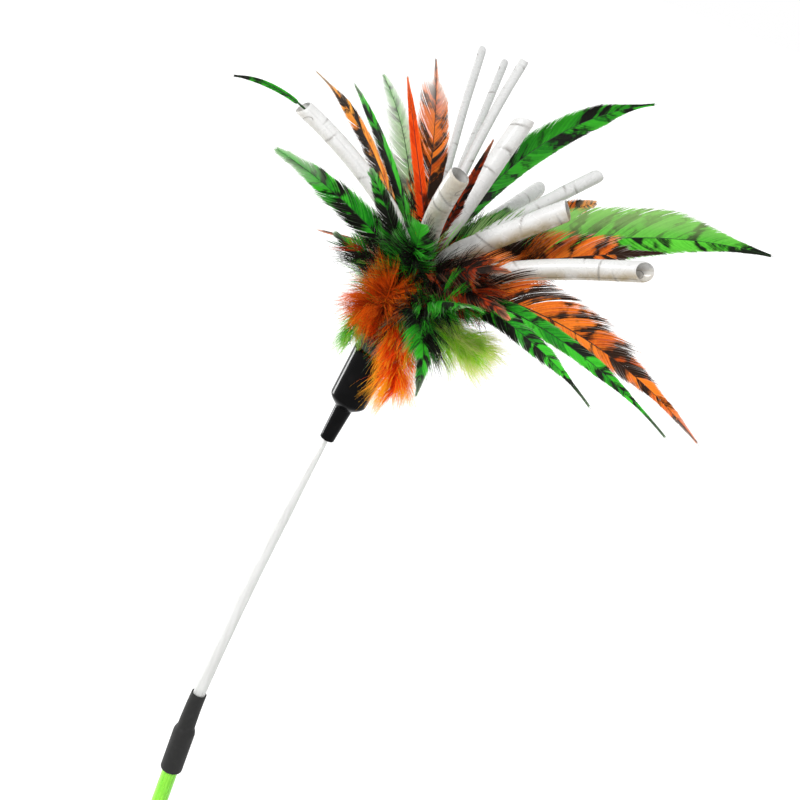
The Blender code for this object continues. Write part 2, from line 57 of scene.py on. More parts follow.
# The camera stands a little above the feathers and is rolled, so the upright wand leans in the picture
cameraSetup = {
    "target": (0.03973, 0.0, 0.4789),
    "distance": 0.6739,
    "elevation": 18.0,
    "roll": 20.82,
    "sensor": 36.0,
    "lens": 69.75,
    "clip": (0.01, 200.0),
}


def makeCamera():
    elevation = math.radians(cameraSetup["elevation"])
    roll = math.radians(cameraSetup["roll"])
    forward = Vector((0.0, math.cos(elevation), -math.sin(elevation)))
    level = Vector((1.0, 0.0, 0.0))
    upright = level.cross(forward)
    up = upright * math.cos(roll) - level * math.sin(roll)
    right = level * math.cos(roll) + upright * math.sin(roll)
    place = Vector(cameraSetup["target"]) - forward * cameraSetup["distance"]
    data = bpy.data.cameras.new("camera")
    data.sensor_width = cameraSetup["sensor"]
    data.lens = cameraSetup["lens"]
    data.clip_start, data.clip_end = cameraSetup["clip"]
    made = addObject("camera", data)
    made.matrix_world = Matrix.Translation(place) @ Matrix((right, up, -forward)).transposed().to_4x4()
    bpy.context.scene.camera = made


makeCamera()


# Centre line of the wand: straight in the handle, then it leans more and more up to the cap
spine = {
    "straight": 0.2899,
    "neck": 0.0190,
    "free": 0.1420,
    "beyond": 0.030,
    "neckLean": 3.9,
    "capLean": 8.2,
    "spacing": 0.00025,
}
neckFoot = spine["straight"]
neckMouth = neckFoot + spine["neck"]
capFoot = neckMouth + spine["free"]
spineDistance = np.arange(0.0, capFoot + spine["beyond"], spine["spacing"])
spineLeans = [0.0, spine["neckLean"], spine["capLean"]]
spineLean = np.radians(np.interp(spineDistance, [neckFoot, neckMouth, capFoot], spineLeans))
spineX = np.concatenate([[0.0], np.cumsum(np.sin(spineLean[:-1]) * spine["spacing"])])
spineZ = np.concatenate([[0.0], np.cumsum(np.cos(spineLean[:-1]) * spine["spacing"])])


def spinePoint(distance):
    x, z = (np.interp(distance, spineDistance, places) for places in (spineX, spineZ))
    return Vector((x, 0.0, z))


# Bends a mesh that was modelled upright, with its height as the distance along the centre line
def bendToSpine(mesh):
    for vert in mesh.verts:
        lean = np.interp(vert.co.z, spineDistance, spineLean)
        across = Vector((math.cos(lean), 0.0, -math.sin(lean)))
        vert.co = spinePoint(vert.co.z) + across * vert.co.x + Vector((0.0, vert.co.y, 0.0))


headFrame = Matrix.Translation(spinePoint(capFoot)) @ Matrix.Rotation(math.radians(spine["capLean"]), 4, "Y")


# Node helpers. A socket knows its own tree. A value that is a socket is linked, any other value is set.
def newMaterial(name):
    made = bpy.data.materials.new(name)
    made.use_nodes = True
    return made, made.node_tree, made.node_tree.nodes["Principled BSDF"]


def setInputs(node, values):
    for key, value in values.items():
        if isinstance(value, bpy.types.NodeSocket):
            node.id_data.links.new(value, node.inputs[key])
        elif node.inputs[key].type == "RGBA":
            node.inputs[key].default_value = (*value, 1.0)
        else:
            node.inputs[key].default_value = value


def addNode(tree, kind, values=None, **settings):
    made = tree.nodes.new(kind)
    for key, value in settings.items():
        setattr(made, key, value)
    setInputs(made, values or {})
    return made


def combine(operation, first, second=0.0):
    return addNode(first.id_data, "ShaderNodeMath", {0: first, 1: second}, operation=operation).outputs[0]


def plus(first, second):
    return combine("ADD", first, second)


def minus(first, second):
    return combine("SUBTRACT", first, second)


def times(first, second):
    return combine("MULTIPLY", first, second)


def remap(value, low, high, toLow=0.0, toHigh=1.0, smooth=True):
    kind = "SMOOTHSTEP" if smooth else "LINEAR"
    values = {"Value": value, "From Min": low, "From Max": high, "To Min": toLow, "To Max": toHigh}
    return addNode(value.id_data, "ShaderNodeMapRange", values, interpolation_type=kind).outputs["Result"]


# Noise mostly lies between 0.3 and 0.7, and is spread over the lowest and the highest roughness
def roughen(cloud, ends):
    return remap(cloud, 0.3, 0.7, *ends)


def blendColors(share, first, second):
    values = {0: share, 6: first, 7: second}
    return addNode(share.id_data, "ShaderNodeMix", values, data_type="RGBA").outputs[2]


# From the first colour to the second while a value goes from low to high, which are a piece's colorEdges
def shades(value, low, high, first, second):
    return blendColors(remap(value, low, high), first, second)


def objectPlace(tree, scale=(1.0, 1.0, 1.0)):
    place = addNode(tree, "ShaderNodeTexCoord").outputs["Object"]
    return addNode(tree, "ShaderNodeMapping", {"Vector": place, "Scale": scale}).outputs["Vector"]


def noise(place, scale, detail=3.0, roughness=0.5):
    values = {"Vector": place, "Scale": scale, "Detail": detail, "Roughness": roughness}
    return addNode(place.id_data, "ShaderNodeTexNoise", values).outputs["Fac"]


# The bump of a piece is its strength and its distance
def bump(height, strength, distance):
    values = {"Height": height, "Strength": strength, "Distance": distance}
    return addNode(height.id_data, "ShaderNodeBump", values).outputs["Normal"]


def attribute(tree, name):
    return addNode(tree, "ShaderNodeAttribute", attribute_name=name).outputs["Fac"]


# Puts a finished bmesh into the scene
def finishPiece(name, mesh, materials, smoothAngle=40.0):
    data = bpy.data.meshes.new(name)
    mesh.to_mesh(data)
    mesh.free()
    for each in materials:
        data.materials.append(each)
    data.shade_smooth()
    data.set_sharp_from_angle(angle=math.radians(smoothAngle))
    return addObject(name, data)


mergeDistance = 0.000002


# A turned piece: the profile is drawn as radius and height, closed if it is a wall, and spun round Z
def turnedMesh(profile, steps, closed=False):
    mesh = bmesh.new()
    verts = [mesh.verts.new((radius, 0.0, height)) for radius, height in profile]
    edges = [mesh.edges.new(pair) for pair in zip(verts, verts[1:])]
    if closed:
        edges.append(mesh.edges.new((verts[-1], verts[0])))
    turning = {"axis": (0, 0, 1), "angle": math.tau, "steps": steps, "use_merge": True}
    bmesh.ops.spin(mesh, geom=verts + edges, cent=(0, 0, 0), **turning)
    bmesh.ops.remove_doubles(mesh, verts=mesh.verts, dist=mergeDistance)
    bmesh.ops.recalc_face_normals(mesh, faces=mesh.faces)
    return mesh


# Quarter round from one direction to another about a centre, as radius and height
def arc(centre, radius, start, end, steps=6):
    points = []
    for index in range(steps + 1):
        angle = math.radians(start + (end - start) * index / steps)
        points.append((centre[0] + radius * math.cos(angle), centre[1] + radius * math.sin(angle)))
    return points


def spread(first, last, steps):
    return [tuple(a + (b - a) * index / steps for a, b in zip(first, last)) for index in range(1, steps)]


# Handle: a lime tube whose plastic lets some light through
handle = {
    "foot": 0.0035,
    "top": 0.2815,
    "radius": 0.0038,
    "bore": 0.0024,
    "edge": 0.00025,
    "steps": 64,
    "lime": (0.36, 0.98, 0.055),
    "deepLime": (0.22, 0.80, 0.025),
    "colorEdges": (0.36, 0.64),
    "streakScale": (900.0, 900.0, 14.0),
    "streakShare": 0.7,
    "cloudScale": 60.0,
    "grainStretch": (1.0, 1.0, 0.15),
    "grainScale": 700.0,
    "bump": (0.05, 0.0002),
    "roughness": (0.19, 0.34),
    "transmission": 0.25,
    "ior": 1.46,
}


def handlePlastic():
    made, tree, shader = newMaterial("handlePlastic")
    streaks = noise(objectPlace(tree, handle["streakScale"]), 1.0, 2.0)
    cloud = noise(objectPlace(tree), handle["cloudScale"], 2.0)
    mixed = plus(times(streaks, handle["streakShare"]), times(cloud, 1 - handle["streakShare"]))
    grain = noise(objectPlace(tree, handle["grainStretch"]), handle["grainScale"], 4.0)
    setInputs(shader, {
        "Base Color": shades(mixed, *handle["colorEdges"], handle["deepLime"], handle["lime"]),
        "Roughness": roughen(grain, handle["roughness"]),
        "Transmission Weight": handle["transmission"],
        "IOR": handle["ior"],
        "Normal": bump(grain, *handle["bump"]),
    })
    return made


def makeHandle():
    foot, top, radius, bore, edge = (handle[key] for key in ("foot", "top", "radius", "bore", "edge"))
    profile = arc((radius - edge, foot + edge), edge, -90, 0, 3)
    profile += spread((radius, foot + edge), (radius, top - edge), 40)
    profile += arc((radius - edge, top - edge), edge, 0, 90, 3)
    profile += arc((bore + edge, top - edge), edge, 90, 180, 3)
    profile += spread((bore, top - edge), (bore, foot + edge), 10)
    profile += arc((bore + edge, foot + edge), edge, 180, 270, 3)
    made = finishPiece("handle_tube", turnedMesh(profile, handle["steps"], closed=True), [handlePlastic()])
    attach(made, "handle")
    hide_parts("handle_rod")


# Soft black pieces: the butt cap of the handle and the coupling sleeve
softBlack = {
    "color": (0.0085, 0.0085, 0.0083),
    "dusty": (0.0185, 0.0185, 0.0180),
    "colorEdges": (0.40, 0.75),
    "cloudScale": 220.0,
    "grainScale": 2600.0,
    "bump": (0.10, 0.0001),
    "roughness": (0.56, 0.72),
    "specular": 0.30,
}
buttCap = {"radius": 0.0056, "bore": 0.0041, "length": 0.026, "floor": 0.0032, "round": 0.0022, "steps": 72}
sleeve = {
    "foot": 0.2649,
    "bodyRadius": 0.0053,
    "handleBore": 0.0041,
    "rodBore": 0.00335,
    "edge": 0.0012,
    "shoulder": 0.0035,
    "neckFootRadius": 0.0042,
    "mouthRadius": 0.0037,
    "lipFoot": 0.0002,
    "stepFoot": 0.2818,
    "stepTop": 0.2861,
    "bendStart": 0.2920,
    "bendEnd": 0.3062,
    "steps": 72,
}


def softRubber():
    made, tree, shader = newMaterial("softRubber")
    cloud = noise(objectPlace(tree), softBlack["cloudScale"], 5.0, 0.6)
    grain = noise(objectPlace(tree), softBlack["grainScale"], 2.0)
    setInputs(shader, {
        "Base Color": shades(cloud, *softBlack["colorEdges"], softBlack["color"], softBlack["dusty"]),
        "Roughness": roughen(cloud, softBlack["roughness"]),
        "Specular IOR Level": softBlack["specular"],
        "Normal": bump(grain, *softBlack["bump"]),
    })
    return made


def makeButtCap(rubber):
    radius, bore, length, edge = (buttCap[key] for key in ("radius", "bore", "length", "round"))
    lip = (radius - bore) / 2
    profile = [(0.0, 0.0), (radius - edge, 0.0)] + arc((radius - edge, edge), edge, -90, 0, 8)[1:]
    profile += spread((radius, edge), (radius, length - lip), 12)
    profile += arc((radius - lip, length - lip), lip, 0, 90, 5)
    profile += arc((bore + lip, length - lip), lip, 90, 180, 4)[1:]
    profile += [(bore, buttCap["floor"]), (0.0, buttCap["floor"])]
    made = finishPiece("soft_butt_cap", turnedMesh(profile, buttCap["steps"]), [rubber])
    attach(made, "handle")
    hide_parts("butt_cap")


def makeSleeve(rubber):
    foot, body, neck, mouth = (sleeve[key] for key in ("foot", "bodyRadius", "neckFootRadius", "mouthRadius"))
    edge, bore = sleeve["edge"], sleeve["rodBore"]
    lip = (mouth - bore) / 2
    shoulderFoot = neckFoot - sleeve["shoulder"]
    profile = [(sleeve["handleBore"], foot)] + arc((body - edge, foot + edge), edge, -90, 0, 7)
    profile += spread((body, foot + edge), (body, shoulderFoot), 10)
    for index in range(11):
        share = index / 10
        swell = math.cos(math.radians(90) * share)
        profile.append((neck + (body - neck) * swell, shoulderFoot + sleeve["shoulder"] * share))
    profile += spread((neck, neckFoot), (mouth, neckMouth - sleeve["lipFoot"]), 26)
    profile += arc((mouth - lip, neckMouth - lip), lip, 0, 180, 6)
    profile += spread((bore, neckMouth), (bore, sleeve["stepTop"]), 26)
    profile += [(bore, sleeve["stepTop"]), (sleeve["handleBore"], sleeve["stepFoot"])]
    mesh = turnedMesh(profile, sleeve["steps"], closed=True)
    bendToSpine(mesh)
    made = finishPiece("soft_sleeve", mesh, [rubber])
    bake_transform(made)
    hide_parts("coupling_sleeve")


# Clear rod: frosted, tapered plastic. Its foot bends with the sleeve, the rest with the whip of the head.
clearRod = {
    "foot": 0.2864,
    "split": 0.3070,
    "tip": capFoot + 0.0148,
    "taperStart": 0.70,
    "diameters": (0.0059, 0.0059, 0.0047, 0.0022, 0.0022),
    "bendStart": 0.3380,
    "bendEnd": 0.4180,
    "footRings": 24,
    "rings": 150,
    "steps": 48,
    "color": (0.86, 0.865, 0.85),
    "cloudy": (0.76, 0.765, 0.745),
    "colorEdges": (0.38, 0.66),
    "streakScale": (500.0, 500.0, 30.0),
    "grainScale": 1500.0,
    "bump": (0.12, 0.0003),
    "roughness": (0.29, 0.44),
    "transmission": 0.30,
    "ior": 1.47,
}


def clearPlastic():
    made, tree, shader = newMaterial("clearPlastic")
    streaks = noise(objectPlace(tree, clearRod["streakScale"]), 1.0, 3.0)
    grain = noise(objectPlace(tree), clearRod["grainScale"], 3.0)
    setInputs(shader, {
        "Base Color": shades(streaks, *clearRod["colorEdges"], clearRod["color"], clearRod["cloudy"]),
        "Roughness": roughen(grain, clearRod["roughness"]),
        "Transmission Weight": clearRod["transmission"],
        "IOR": clearRod["ior"],
        "Normal": bump(streaks, *clearRod["bump"]),
    })
    return made


def rodPiece(name, foot, top, rings, plastic):
    taperStart = neckMouth + clearRod["taperStart"] * spine["free"]
    places = (clearRod["foot"], neckMouth, taperStart, capFoot, clearRod["tip"])
    profile = [(0.0, foot)]
    for index in range(rings + 1):
        height = foot + (top - foot) * index / rings
        profile.append((np.interp(height, places, clearRod["diameters"]) / 2, height))
    profile.append((0.0, top))
    mesh = turnedMesh(profile, clearRod["steps"])
    bendToSpine(mesh)
    return finishPiece(name, mesh, [plastic])


def makeClearRod():
    plastic = clearPlastic()
    low = rodPiece("clear_rod_foot", clearRod["foot"], clearRod["split"], clearRod["footRings"], plastic)
    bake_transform(low)
    high = rodPiece("clear_rod_taper", clearRod["split"], clearRod["tip"], clearRod["rings"], plastic)
    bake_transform(high)
    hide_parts("clear_rod")


# Bell cap: gloss black, with a stem, a full shoulder and a cup whose lip is rounded
bell = {
    "boreRadius": 0.0014,
    "boreTop": 0.0155,
    "stemFoot": 0.0033,
    "stemTop": 0.00395,
    "stemEdge": 0.0005,
    "stemLength": 0.0165,
    "shoulder": 0.0050,
    "cupFoot": 0.0084,
    "cupMouth": 0.0090,
    "cupLength": 0.0235,
    "wall": 0.0011,
    "steps": 128,
    "shoulderSwell": 1.15,
    "color": (0.0020, 0.0020, 0.0022),
    "dusty": (0.0050, 0.0050, 0.0055),
    "colorEdges": (0.45, 0.8),
    "cloudScale": 150.0,
    "bump": (0.04, 0.0006),
    "roughness": (0.09, 0.17),
    "scuffs": 0.12,
    "scuffEdges": (0.50, 0.78),
    "scuffStretch": (1.0, 1.0, 0.08),
    "scuffScale": 900.0,
    "specular": 0.06,
}


def glossBlack():
    made, tree, shader = newMaterial("glossBlack")
    scuffs = noise(objectPlace(tree, bell["scuffStretch"]), bell["scuffScale"], 5.0, 0.62)
    scuffed = remap(scuffs, *bell["scuffEdges"], 0.0, bell["scuffs"])
    cloud = noise(objectPlace(tree), bell["cloudScale"], 4.0)
    setInputs(shader, {
        "Base Color": shades(cloud, *bell["colorEdges"], bell["color"], bell["dusty"]),
        "Roughness": plus(scuffed, roughen(cloud, bell["roughness"])),
        "Specular IOR Level": bell["specular"],
        "Normal": bump(cloud, *bell["bump"]),
    })
    return made


def makeBell():
    stem, waist, foot, mouth = (bell[key] for key in ("stemFoot", "stemTop", "cupFoot", "cupMouth"))
    edge, wall, length = bell["stemEdge"], bell["wall"], bell["stemLength"]
    floor = length + bell["shoulder"]
    top = floor + bell["cupLength"]
    profile = [(0.0, bell["boreTop"]), (bell["boreRadius"], bell["boreTop"]), (bell["boreRadius"], 0.0)]
    profile += arc((stem - edge, edge), edge, -90, 0, 6)
    profile += spread((stem, edge), (waist, length), 12)
    for index in range(17):
        share = index / 16
        ease = math.sin(math.radians(90) * share) ** bell["shoulderSwell"]
        profile.append((waist + (foot - waist) * ease, length + bell["shoulder"] * share))
    profile += spread((foot, floor), (mouth, top - wall / 2), 12)
    profile += arc((mouth - wall / 2, top - wall / 2), wall / 2, 0, 180, 10)
    profile += spread((mouth - wall, top), (foot - wall, floor), 6)
    profile += [(foot - wall, floor), (0.0, floor)]
    mesh = turnedMesh(profile, bell["steps"])
    bmesh.ops.transform(mesh, matrix=headFrame, verts=mesh.verts)
    made = finishPiece("gloss_bell", mesh, [glossBlack()])
    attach(made, "head")
    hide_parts("bell_cap")


makeHandle()
softBlackRubber = softRubber()
makeButtCap(softBlackRubber)
makeSleeve(softBlackRubber)
makeClearRod()
makeBell()
print("handle, sleeve, rod and cap made")


# The bundle that feathers, tubes and fluff leave: rings of quills stand in the cup and flare out above it
bundle = {
    "cupRadius": 0.0073,
    "ringShares": {"inner": 0.22, "middle": 0.466, "outer": 0.70, "rim": 0.89},
    "flareHeights": {"inner": 0.077, "middle": 0.070, "outer": 0.063, "rim": 0.053},
    "quillFoot": 0.0291,
    "quillRadius": 0.00048,
    "flare": 0.038,
    "fluffFlare": 0.025,
    "lineSteps": 60,
}
featherSize = {"length": 0.160, "width": 0.022}
seeds = {"feathers": 100, "tubes": 300, "fluff": 500, "threaded": 77}

# Feathers: ring, turn, lean, droop, swing, roll, shares of length and width, dye, spacing of bars, dark share
featherRows = {
    "feather_red_short": ("inner", -60, 0, 0, 0, 0, 0.46, 0.26, "rust", 0.0060, 0.50),
    "feather_red_plain": ("inner", 165, 36, 2, 0, 80, 0.57, 0.38, "scarlet", 0.0500, 0.03),
    "feather_orange_upright": ("middle", 125, 34, 25, 0, 0, 0.78, 0.58, "orange", 0.0230, 0.44),
    "feather_green_crown": ("middle", 57, 45, 4, 0, 10, 0.42, 0.36, "green", 0.0120, 0.50),
    "feather_green_long_upper": ("middle", 82, 22, 44, -46, 80, 1.03, 0.78, "green", 0.0200, 0.30),
    "feather_green_narrow_left": ("middle", 148, 42, 25, 0, 60, 0.65, 0.50, "green", 0.0190, 0.56),
    "feather_green_front": ("outer", -102, 50, -4, 0, 0, 0.38, 0.36, "green", 0.0200, 0.24),
    "feather_green_wispy": ("outer", 130, 34, 42, 0, 30, 0.81, 0.40, "paleGreen", 0.0150, 0.24),
    "feather_orange_left": ("outer", 150, 38, 48, 0, 60, 0.82, 0.48, "amber", 0.0210, 0.42),
    "feather_green_left": ("outer", 180, 60, 26, 0, 90, 0.58, 0.60, "green", 0.0130, 0.42),
    "feather_green_front_left": ("outer", -150, 38, 14, 0, 60, 0.45, 0.50, "green", 0.0100, 0.58),
    "feather_orange_front": ("outer", -50, 38, 32, 0, 45, 0.48, 0.45, "rust", 0.0100, 0.62),
    "feather_red_front_right": ("outer", -47, 48, 45, 0, 30, 0.48, 0.50, "rust", 0.0120, 0.60),
    "feather_red_front_left": ("outer", -176, 90, 14, 0, 60, 0.26, 0.26, "rust", 0.0140, 0.70),
    "feather_green_lower_inner": ("outer", -38, 66, 40, 0, 60, 0.75, 0.50, "green", 0.0130, 0.52),
    "feather_green_lower_outer": ("outer", -30, 64, 42, 0, 70, 0.92, 0.45, "green", 0.0160, 0.48),
    "feather_orange_long_lower": ("outer", -24, 58, 52, 0, 75, 0.98, 0.90, "orange", 0.0170, 0.38),
    "feather_dark_right": ("outer", 4, 44, 18, 0, 75, 0.75, 0.60, "orange", 0.0150, 0.92),
    "feather_green_long_right": ("outer", 20, 40, 44, 0, 80, 1.13, 1.00, "lightGreen", 0.0200, 0.32),
    "feather_orange_back_right": ("outer", 60, 60, 14, 0, 60, 0.92, 0.65, "amber", 0.0056, 0.42),
    "feather_green_back_right": ("outer", 42, 92, 12, 0, 0, 0.56, 0.50, "green", 0.0120, 0.44),
    "feather_red_back": ("outer", 70, 114, 12, 0, 10, 0.50, 0.45, "scarlet", 0.0140, 0.30),
    "feather_green_back": ("outer", 102, 72, 16, 0, 10, 0.62, 0.60, "green", 0.0130, 0.42),
    "feather_orange_back_left": ("outer", 134, 100, 12, 0, 10, 0.50, 0.60, "orange", 0.0120, 0.42),
    "feather_green_spiky_left": ("rim", -178, 60, 20, 0, 70, 0.32, 0.36, "green", 0.0140, 0.58),
    "feather_green_hanging": ("rim", -80, 60, 85, -6, 0, 0.50, 0.48, "green", 0.0100, 0.60),
    "feather_green_front_low": ("rim", -66, 42, 36, 0, 20, 0.42, 0.48, "green", 0.0120, 0.42),
}

# Film tubes: ring, turn, lean, droop, swing, shares of length and diameter
tubeRows = {
    "tube_upper_wide": ("inner", 70, 16, 4, 0, 0.80, 0.97),
    "tube_upper": ("inner", 104, 34, 0, -20, 1.08, 0.50),
    "tube_front": ("middle", -130, 37, -10, 50, 0.66, 1.05),
    "tube_right": ("middle", -3, 36, 4, 0, 0.76, 1.05),
    "tube_right_pale": ("middle", 40, 40, 6, 0, 0.97, 0.70),
    "tube_rear_right": ("middle", 66, 58, 2, 0, 0.90, 0.80),
    "tube_rear_thin": ("middle", 96, 50, 0, 0, 1.30, 0.42),
    "tube_rear_thin_long": ("middle", 104, 46, 0, 0, 1.24, 0.45),
    "tube_left": ("middle", 168, 52, 28, 0, 0.93, 0.87),
    "tube_lower_right": ("outer", -10, 46, 18, 0, 1.04, 1.00),
}

# Fluff: turn, lean at its end, share of length, dye, how far along it the strands leave, a factor of their
# length, how far the tuft is combed round and its number of locks
fluffRows = {
    "fluff_orange_front": (-92, 150, 0.95, "orangeFluff", 0.84, 1.00, 44.0, 130),
    "fluff_orange_upper": (-112, 48, 0.75, "brownFluff", 0.62, 1.30, 8.0, 100),
    "fluff_orange_left": (-158, 126, 0.80, "brownFluff", 0.42, 1.00, 30.0, 84),
    "fluff_green_left": (-198, 174, 0.65, "greenFluff", 0.94, 0.62, 70.0, 60),
    "fluff_green_back_left": (128, 74, 0.85, "greenFluff", 0.70, 1.20, 0.0, 50),
    "fluff_orange_back": (92, 140, 0.85, "orangeFluff", 0.85, 1.20, 0.0, 64),
    "fluff_green_back_right": (60, 98, 0.85, "greenFluff", 0.70, 1.20, 0.0, 50),
    "fluff_green_right": (18, 82, 1.00, "greenFluff", 0.62, 1.20, 0.0, 60),
    "fluff_yellow_right": (-14, 84, 1.10, "yellowFluff", 0.80, 1.15, -8.0, 84),
    "fluff_green_front_right": (-46, 90, 1.00, "yellowFluff", 0.80, 1.10, 30.0, 84),
}


# Slots around each ring, evenly spaced in the order of the turns
def findSlots():
    members = {name: [] for name in bundle["ringShares"]}
    for name, row in {**featherRows, **tubeRows}.items():
        members[row[0]].append((row[1], name))
    for name, row in fluffRows.items():
        members["rim"].append((row[0], name))
    found = {}
    for listed in members.values():
        listed.sort()
        spacing = 360 / len(listed)
        offset = sum(turn - spacing * index for index, (turn, _) in enumerate(listed)) / len(listed)
        for index, (_, name) in enumerate(listed):
            found[name] = offset + spacing * index
    return found


slots = findSlots()
headTurn = np.array(headFrame.to_3x3())
headPlace = np.array(headFrame.translation)


# Centre line of a piece beyond the bundle, with the directions across it and out of it
def freeLine(name, ringName, turn, lean, droop, swing, roll, length, flare):
    radius = bundle["cupRadius"] * bundle["ringShares"][ringName]
    height = bundle["flareHeights"][ringName]
    slot = math.radians(slots[name])
    share = np.linspace(0.0, 1.0, bundle["lineSteps"] + 1)
    rise = np.minimum(length * share / flare, 1.0)
    tilt = np.radians(lean * (1 - np.cos(np.pi * rise)) / 2 + droop * share)
    heading = np.radians(turn + swing * share)
    level = np.zeros_like(share)
    outward = np.stack([np.cos(heading), np.sin(heading), level], 1)
    upward = np.stack([level, level, np.cos(tilt)], 1)
    along = outward * np.sin(tilt)[:, None] + upward
    sideways = np.stack([-np.sin(heading), np.cos(heading), level], 1)
    start = np.array([math.cos(slot) * radius, math.sin(slot) * radius, height])
    steps = along[:-1] * (length / bundle["lineSteps"])
    places = start + np.concatenate([np.zeros((1, 3)), np.cumsum(steps, 0)])
    return lineOf(places @ headTurn.T + headPlace, along @ headTurn.T, sideways @ headTurn.T, roll, length)


def lineOf(places, along, sideways, roll, length):
    upright = np.cross(along, sideways)
    angle = math.radians(roll)
    across = sideways * math.cos(angle) + upright * math.sin(angle)
    out = np.cross(along, across)
    return {"places": places, "along": along, "across": across, "out": out, "length": length}


# Points at distances along a line, across it and out of it; past its ends the line runs straight on
def onLine(line, distance, across, out):
    knots = np.linspace(0.0, line["length"], len(line["places"]))
    inside = np.clip(distance, 0.0, line["length"])
    past = distance - inside
    found = []
    for axis in range(3):
        place = np.interp(inside, knots, line["places"][:, axis])
        along = np.interp(inside, knots, line["along"][:, axis])
        side = np.interp(inside, knots, line["across"][:, axis])
        away = np.interp(inside, knots, line["out"][:, axis])
        found.append(place + along * past + side * across + away * out)
    return np.stack(found, -1)


# One closed bar of sides by stations, extruded station by station
def barMesh(sides, stations):
    mesh = bmesh.new()
    bmesh.ops.create_circle(mesh, cap_ends=True, segments=sides, radius=1.0)
    edges = mesh.edges[:]
    for _ in range(stations):
        grown = bmesh.ops.extrude_edge_only(mesh, edges=edges)["geom"]
        corners = {item for item in grown if isinstance(item, bmesh.types.BMVert)}
        grownEdges = [item for item in grown if isinstance(item, bmesh.types.BMEdge)]
        edges = [edge for edge in grownEdges if corners.issuperset(edge.verts)]
        bmesh.ops.translate(mesh, verts=list(corners), vec=(0.0, 0.0, 1.0))
    bmesh.ops.edgeloop_fill(mesh, edges=edges)
    bmesh.ops.recalc_face_normals(mesh, faces=mesh.faces)
    return mesh


# Every strand is such a bar with three sides. Its corners know their share of the strand's length,
# their side and whether they lie on its ridge.
def strandCorners(stations):
    mesh = barMesh(3, stations)
    corners = np.array([tuple(vert.co) for vert in mesh.verts])[None]
    mesh.free()
    ridge = np.round((corners[:, :, 1] + 0.5) / 1.5)
    side = corners[:, :, 0] / 0.866 * (1 - ridge)
    return corners[:, :, 2] / stations, side, ridge


# A mesh of many strands: one bar is doubled until there are enough, and the corners are laid out at once
def strandMesh(strands, stations):
    count = len(strands["points"])
    mesh = barMesh(3, stations)
    each = (len(mesh.verts), len(mesh.edges), len(mesh.faces))
    made = 1
    while made < count:
        more = min(made, count - made)
        chosen = mesh.verts[: more * each[0]] + mesh.edges[: more * each[1]] + mesh.faces[: more * each[2]]
        bmesh.ops.duplicate(mesh, geom=chosen)
        made += more
    data = bpy.data.meshes.new("strands")
    mesh.to_mesh(data)
    mesh.free()
    data.vertices.foreach_set("co", strands["points"].astype(np.float32).ravel())
    for key, values in strands.items():
        if key != "points":
            setAttribute(data, key, values)
    return data


def setAttribute(data, name, values):
    made = data.attributes.get(name) or data.attributes.new(name, "FLOAT", "POINT")
    made.data.foreach_set("value", np.ascontiguousarray(values, np.float32).ravel())


# Several sets of strands as one
def joinStrands(sets):
    return {key: np.concatenate([each[key] for each in sets]) for key in sets[0]}


# Dyes: the lit colour, the deep one (mixed strand by strand, the two paint light and shade over the dye),
# the bars, the ends of the barbs, the shaft and the wisps
dyeParts = ("bright", "deepShade", "dark", "ends", "shaft", "wisp")
dyeRows = {
    "green": (
        (0.045, 0.520, 0.022), (0.006, 0.200, 0.008), (0.0050, 0.0060, 0.0030),
        (0.120, 0.600, 0.060), (0.010, 0.110, 0.008), (0.480, 0.660, 0.420),
    ),
    "lightGreen": (
        (0.150, 0.720, 0.055), (0.050, 0.480, 0.018), (0.0060, 0.0120, 0.0040),
        (0.260, 0.720, 0.120), (0.006, 0.080, 0.006), (0.420, 0.700, 0.240),
    ),
    "paleGreen": (
        (0.360, 0.620, 0.280), (0.120, 0.380, 0.080), (0.010, 0.030, 0.010),
        (0.600, 0.740, 0.540), (0.020, 0.100, 0.020), (0.780, 0.830, 0.760),
    ),
    "orange": (
        (0.930, 0.230, 0.020), (0.560, 0.074, 0.005), (0.0240, 0.0090, 0.0035),
        (0.900, 0.330, 0.110), (0.040, 0.012, 0.004), (0.910, 0.790, 0.730),
    ),
    "amber": (
        (0.940, 0.370, 0.034), (0.680, 0.130, 0.008), (0.0140, 0.0070, 0.0030),
        (0.940, 0.420, 0.080), (0.050, 0.016, 0.004), (0.900, 0.660, 0.460),
    ),
    "scarlet": (
        (0.950, 0.095, 0.006), (0.700, 0.040, 0.002), (0.080, 0.010, 0.002),
        (0.950, 0.170, 0.020), (0.180, 0.012, 0.002), (0.930, 0.350, 0.160),
    ),
    "rust": (
        (0.430, 0.040, 0.004), (0.130, 0.012, 0.003), (0.0110, 0.0050, 0.0030),
        (0.600, 0.090, 0.014), (0.030, 0.008, 0.003), (0.800, 0.350, 0.200),
    ),
    "orangeFluff": (
        (0.960, 0.075, 0.001), (0.640, 0.028, 0.001), (0.060, 0.010, 0.002),
        (1.000, 0.500, 0.020), (0.300, 0.060, 0.006),
    ),
    "brownFluff": (
        (0.620, 0.070, 0.001), (0.130, 0.011, 0.001), (0.050, 0.012, 0.003),
        (0.900, 0.200, 0.006), (0.200, 0.040, 0.006),
    ),
    "greenFluff": (
        (0.120, 0.540, 0.026), (0.012, 0.130, 0.006), (0.008, 0.040, 0.005),
        (0.420, 0.760, 0.160), (0.040, 0.160, 0.012),
    ),
    "yellowFluff": (
        (0.620, 1.000, 0.090), (0.260, 0.860, 0.030), (0.012, 0.060, 0.006),
        (1.000, 1.000, 0.420), (0.100, 0.240, 0.024),
    ),
}
dyes = {name: dict(zip(dyeParts, row)) for name, row in dyeRows.items()}
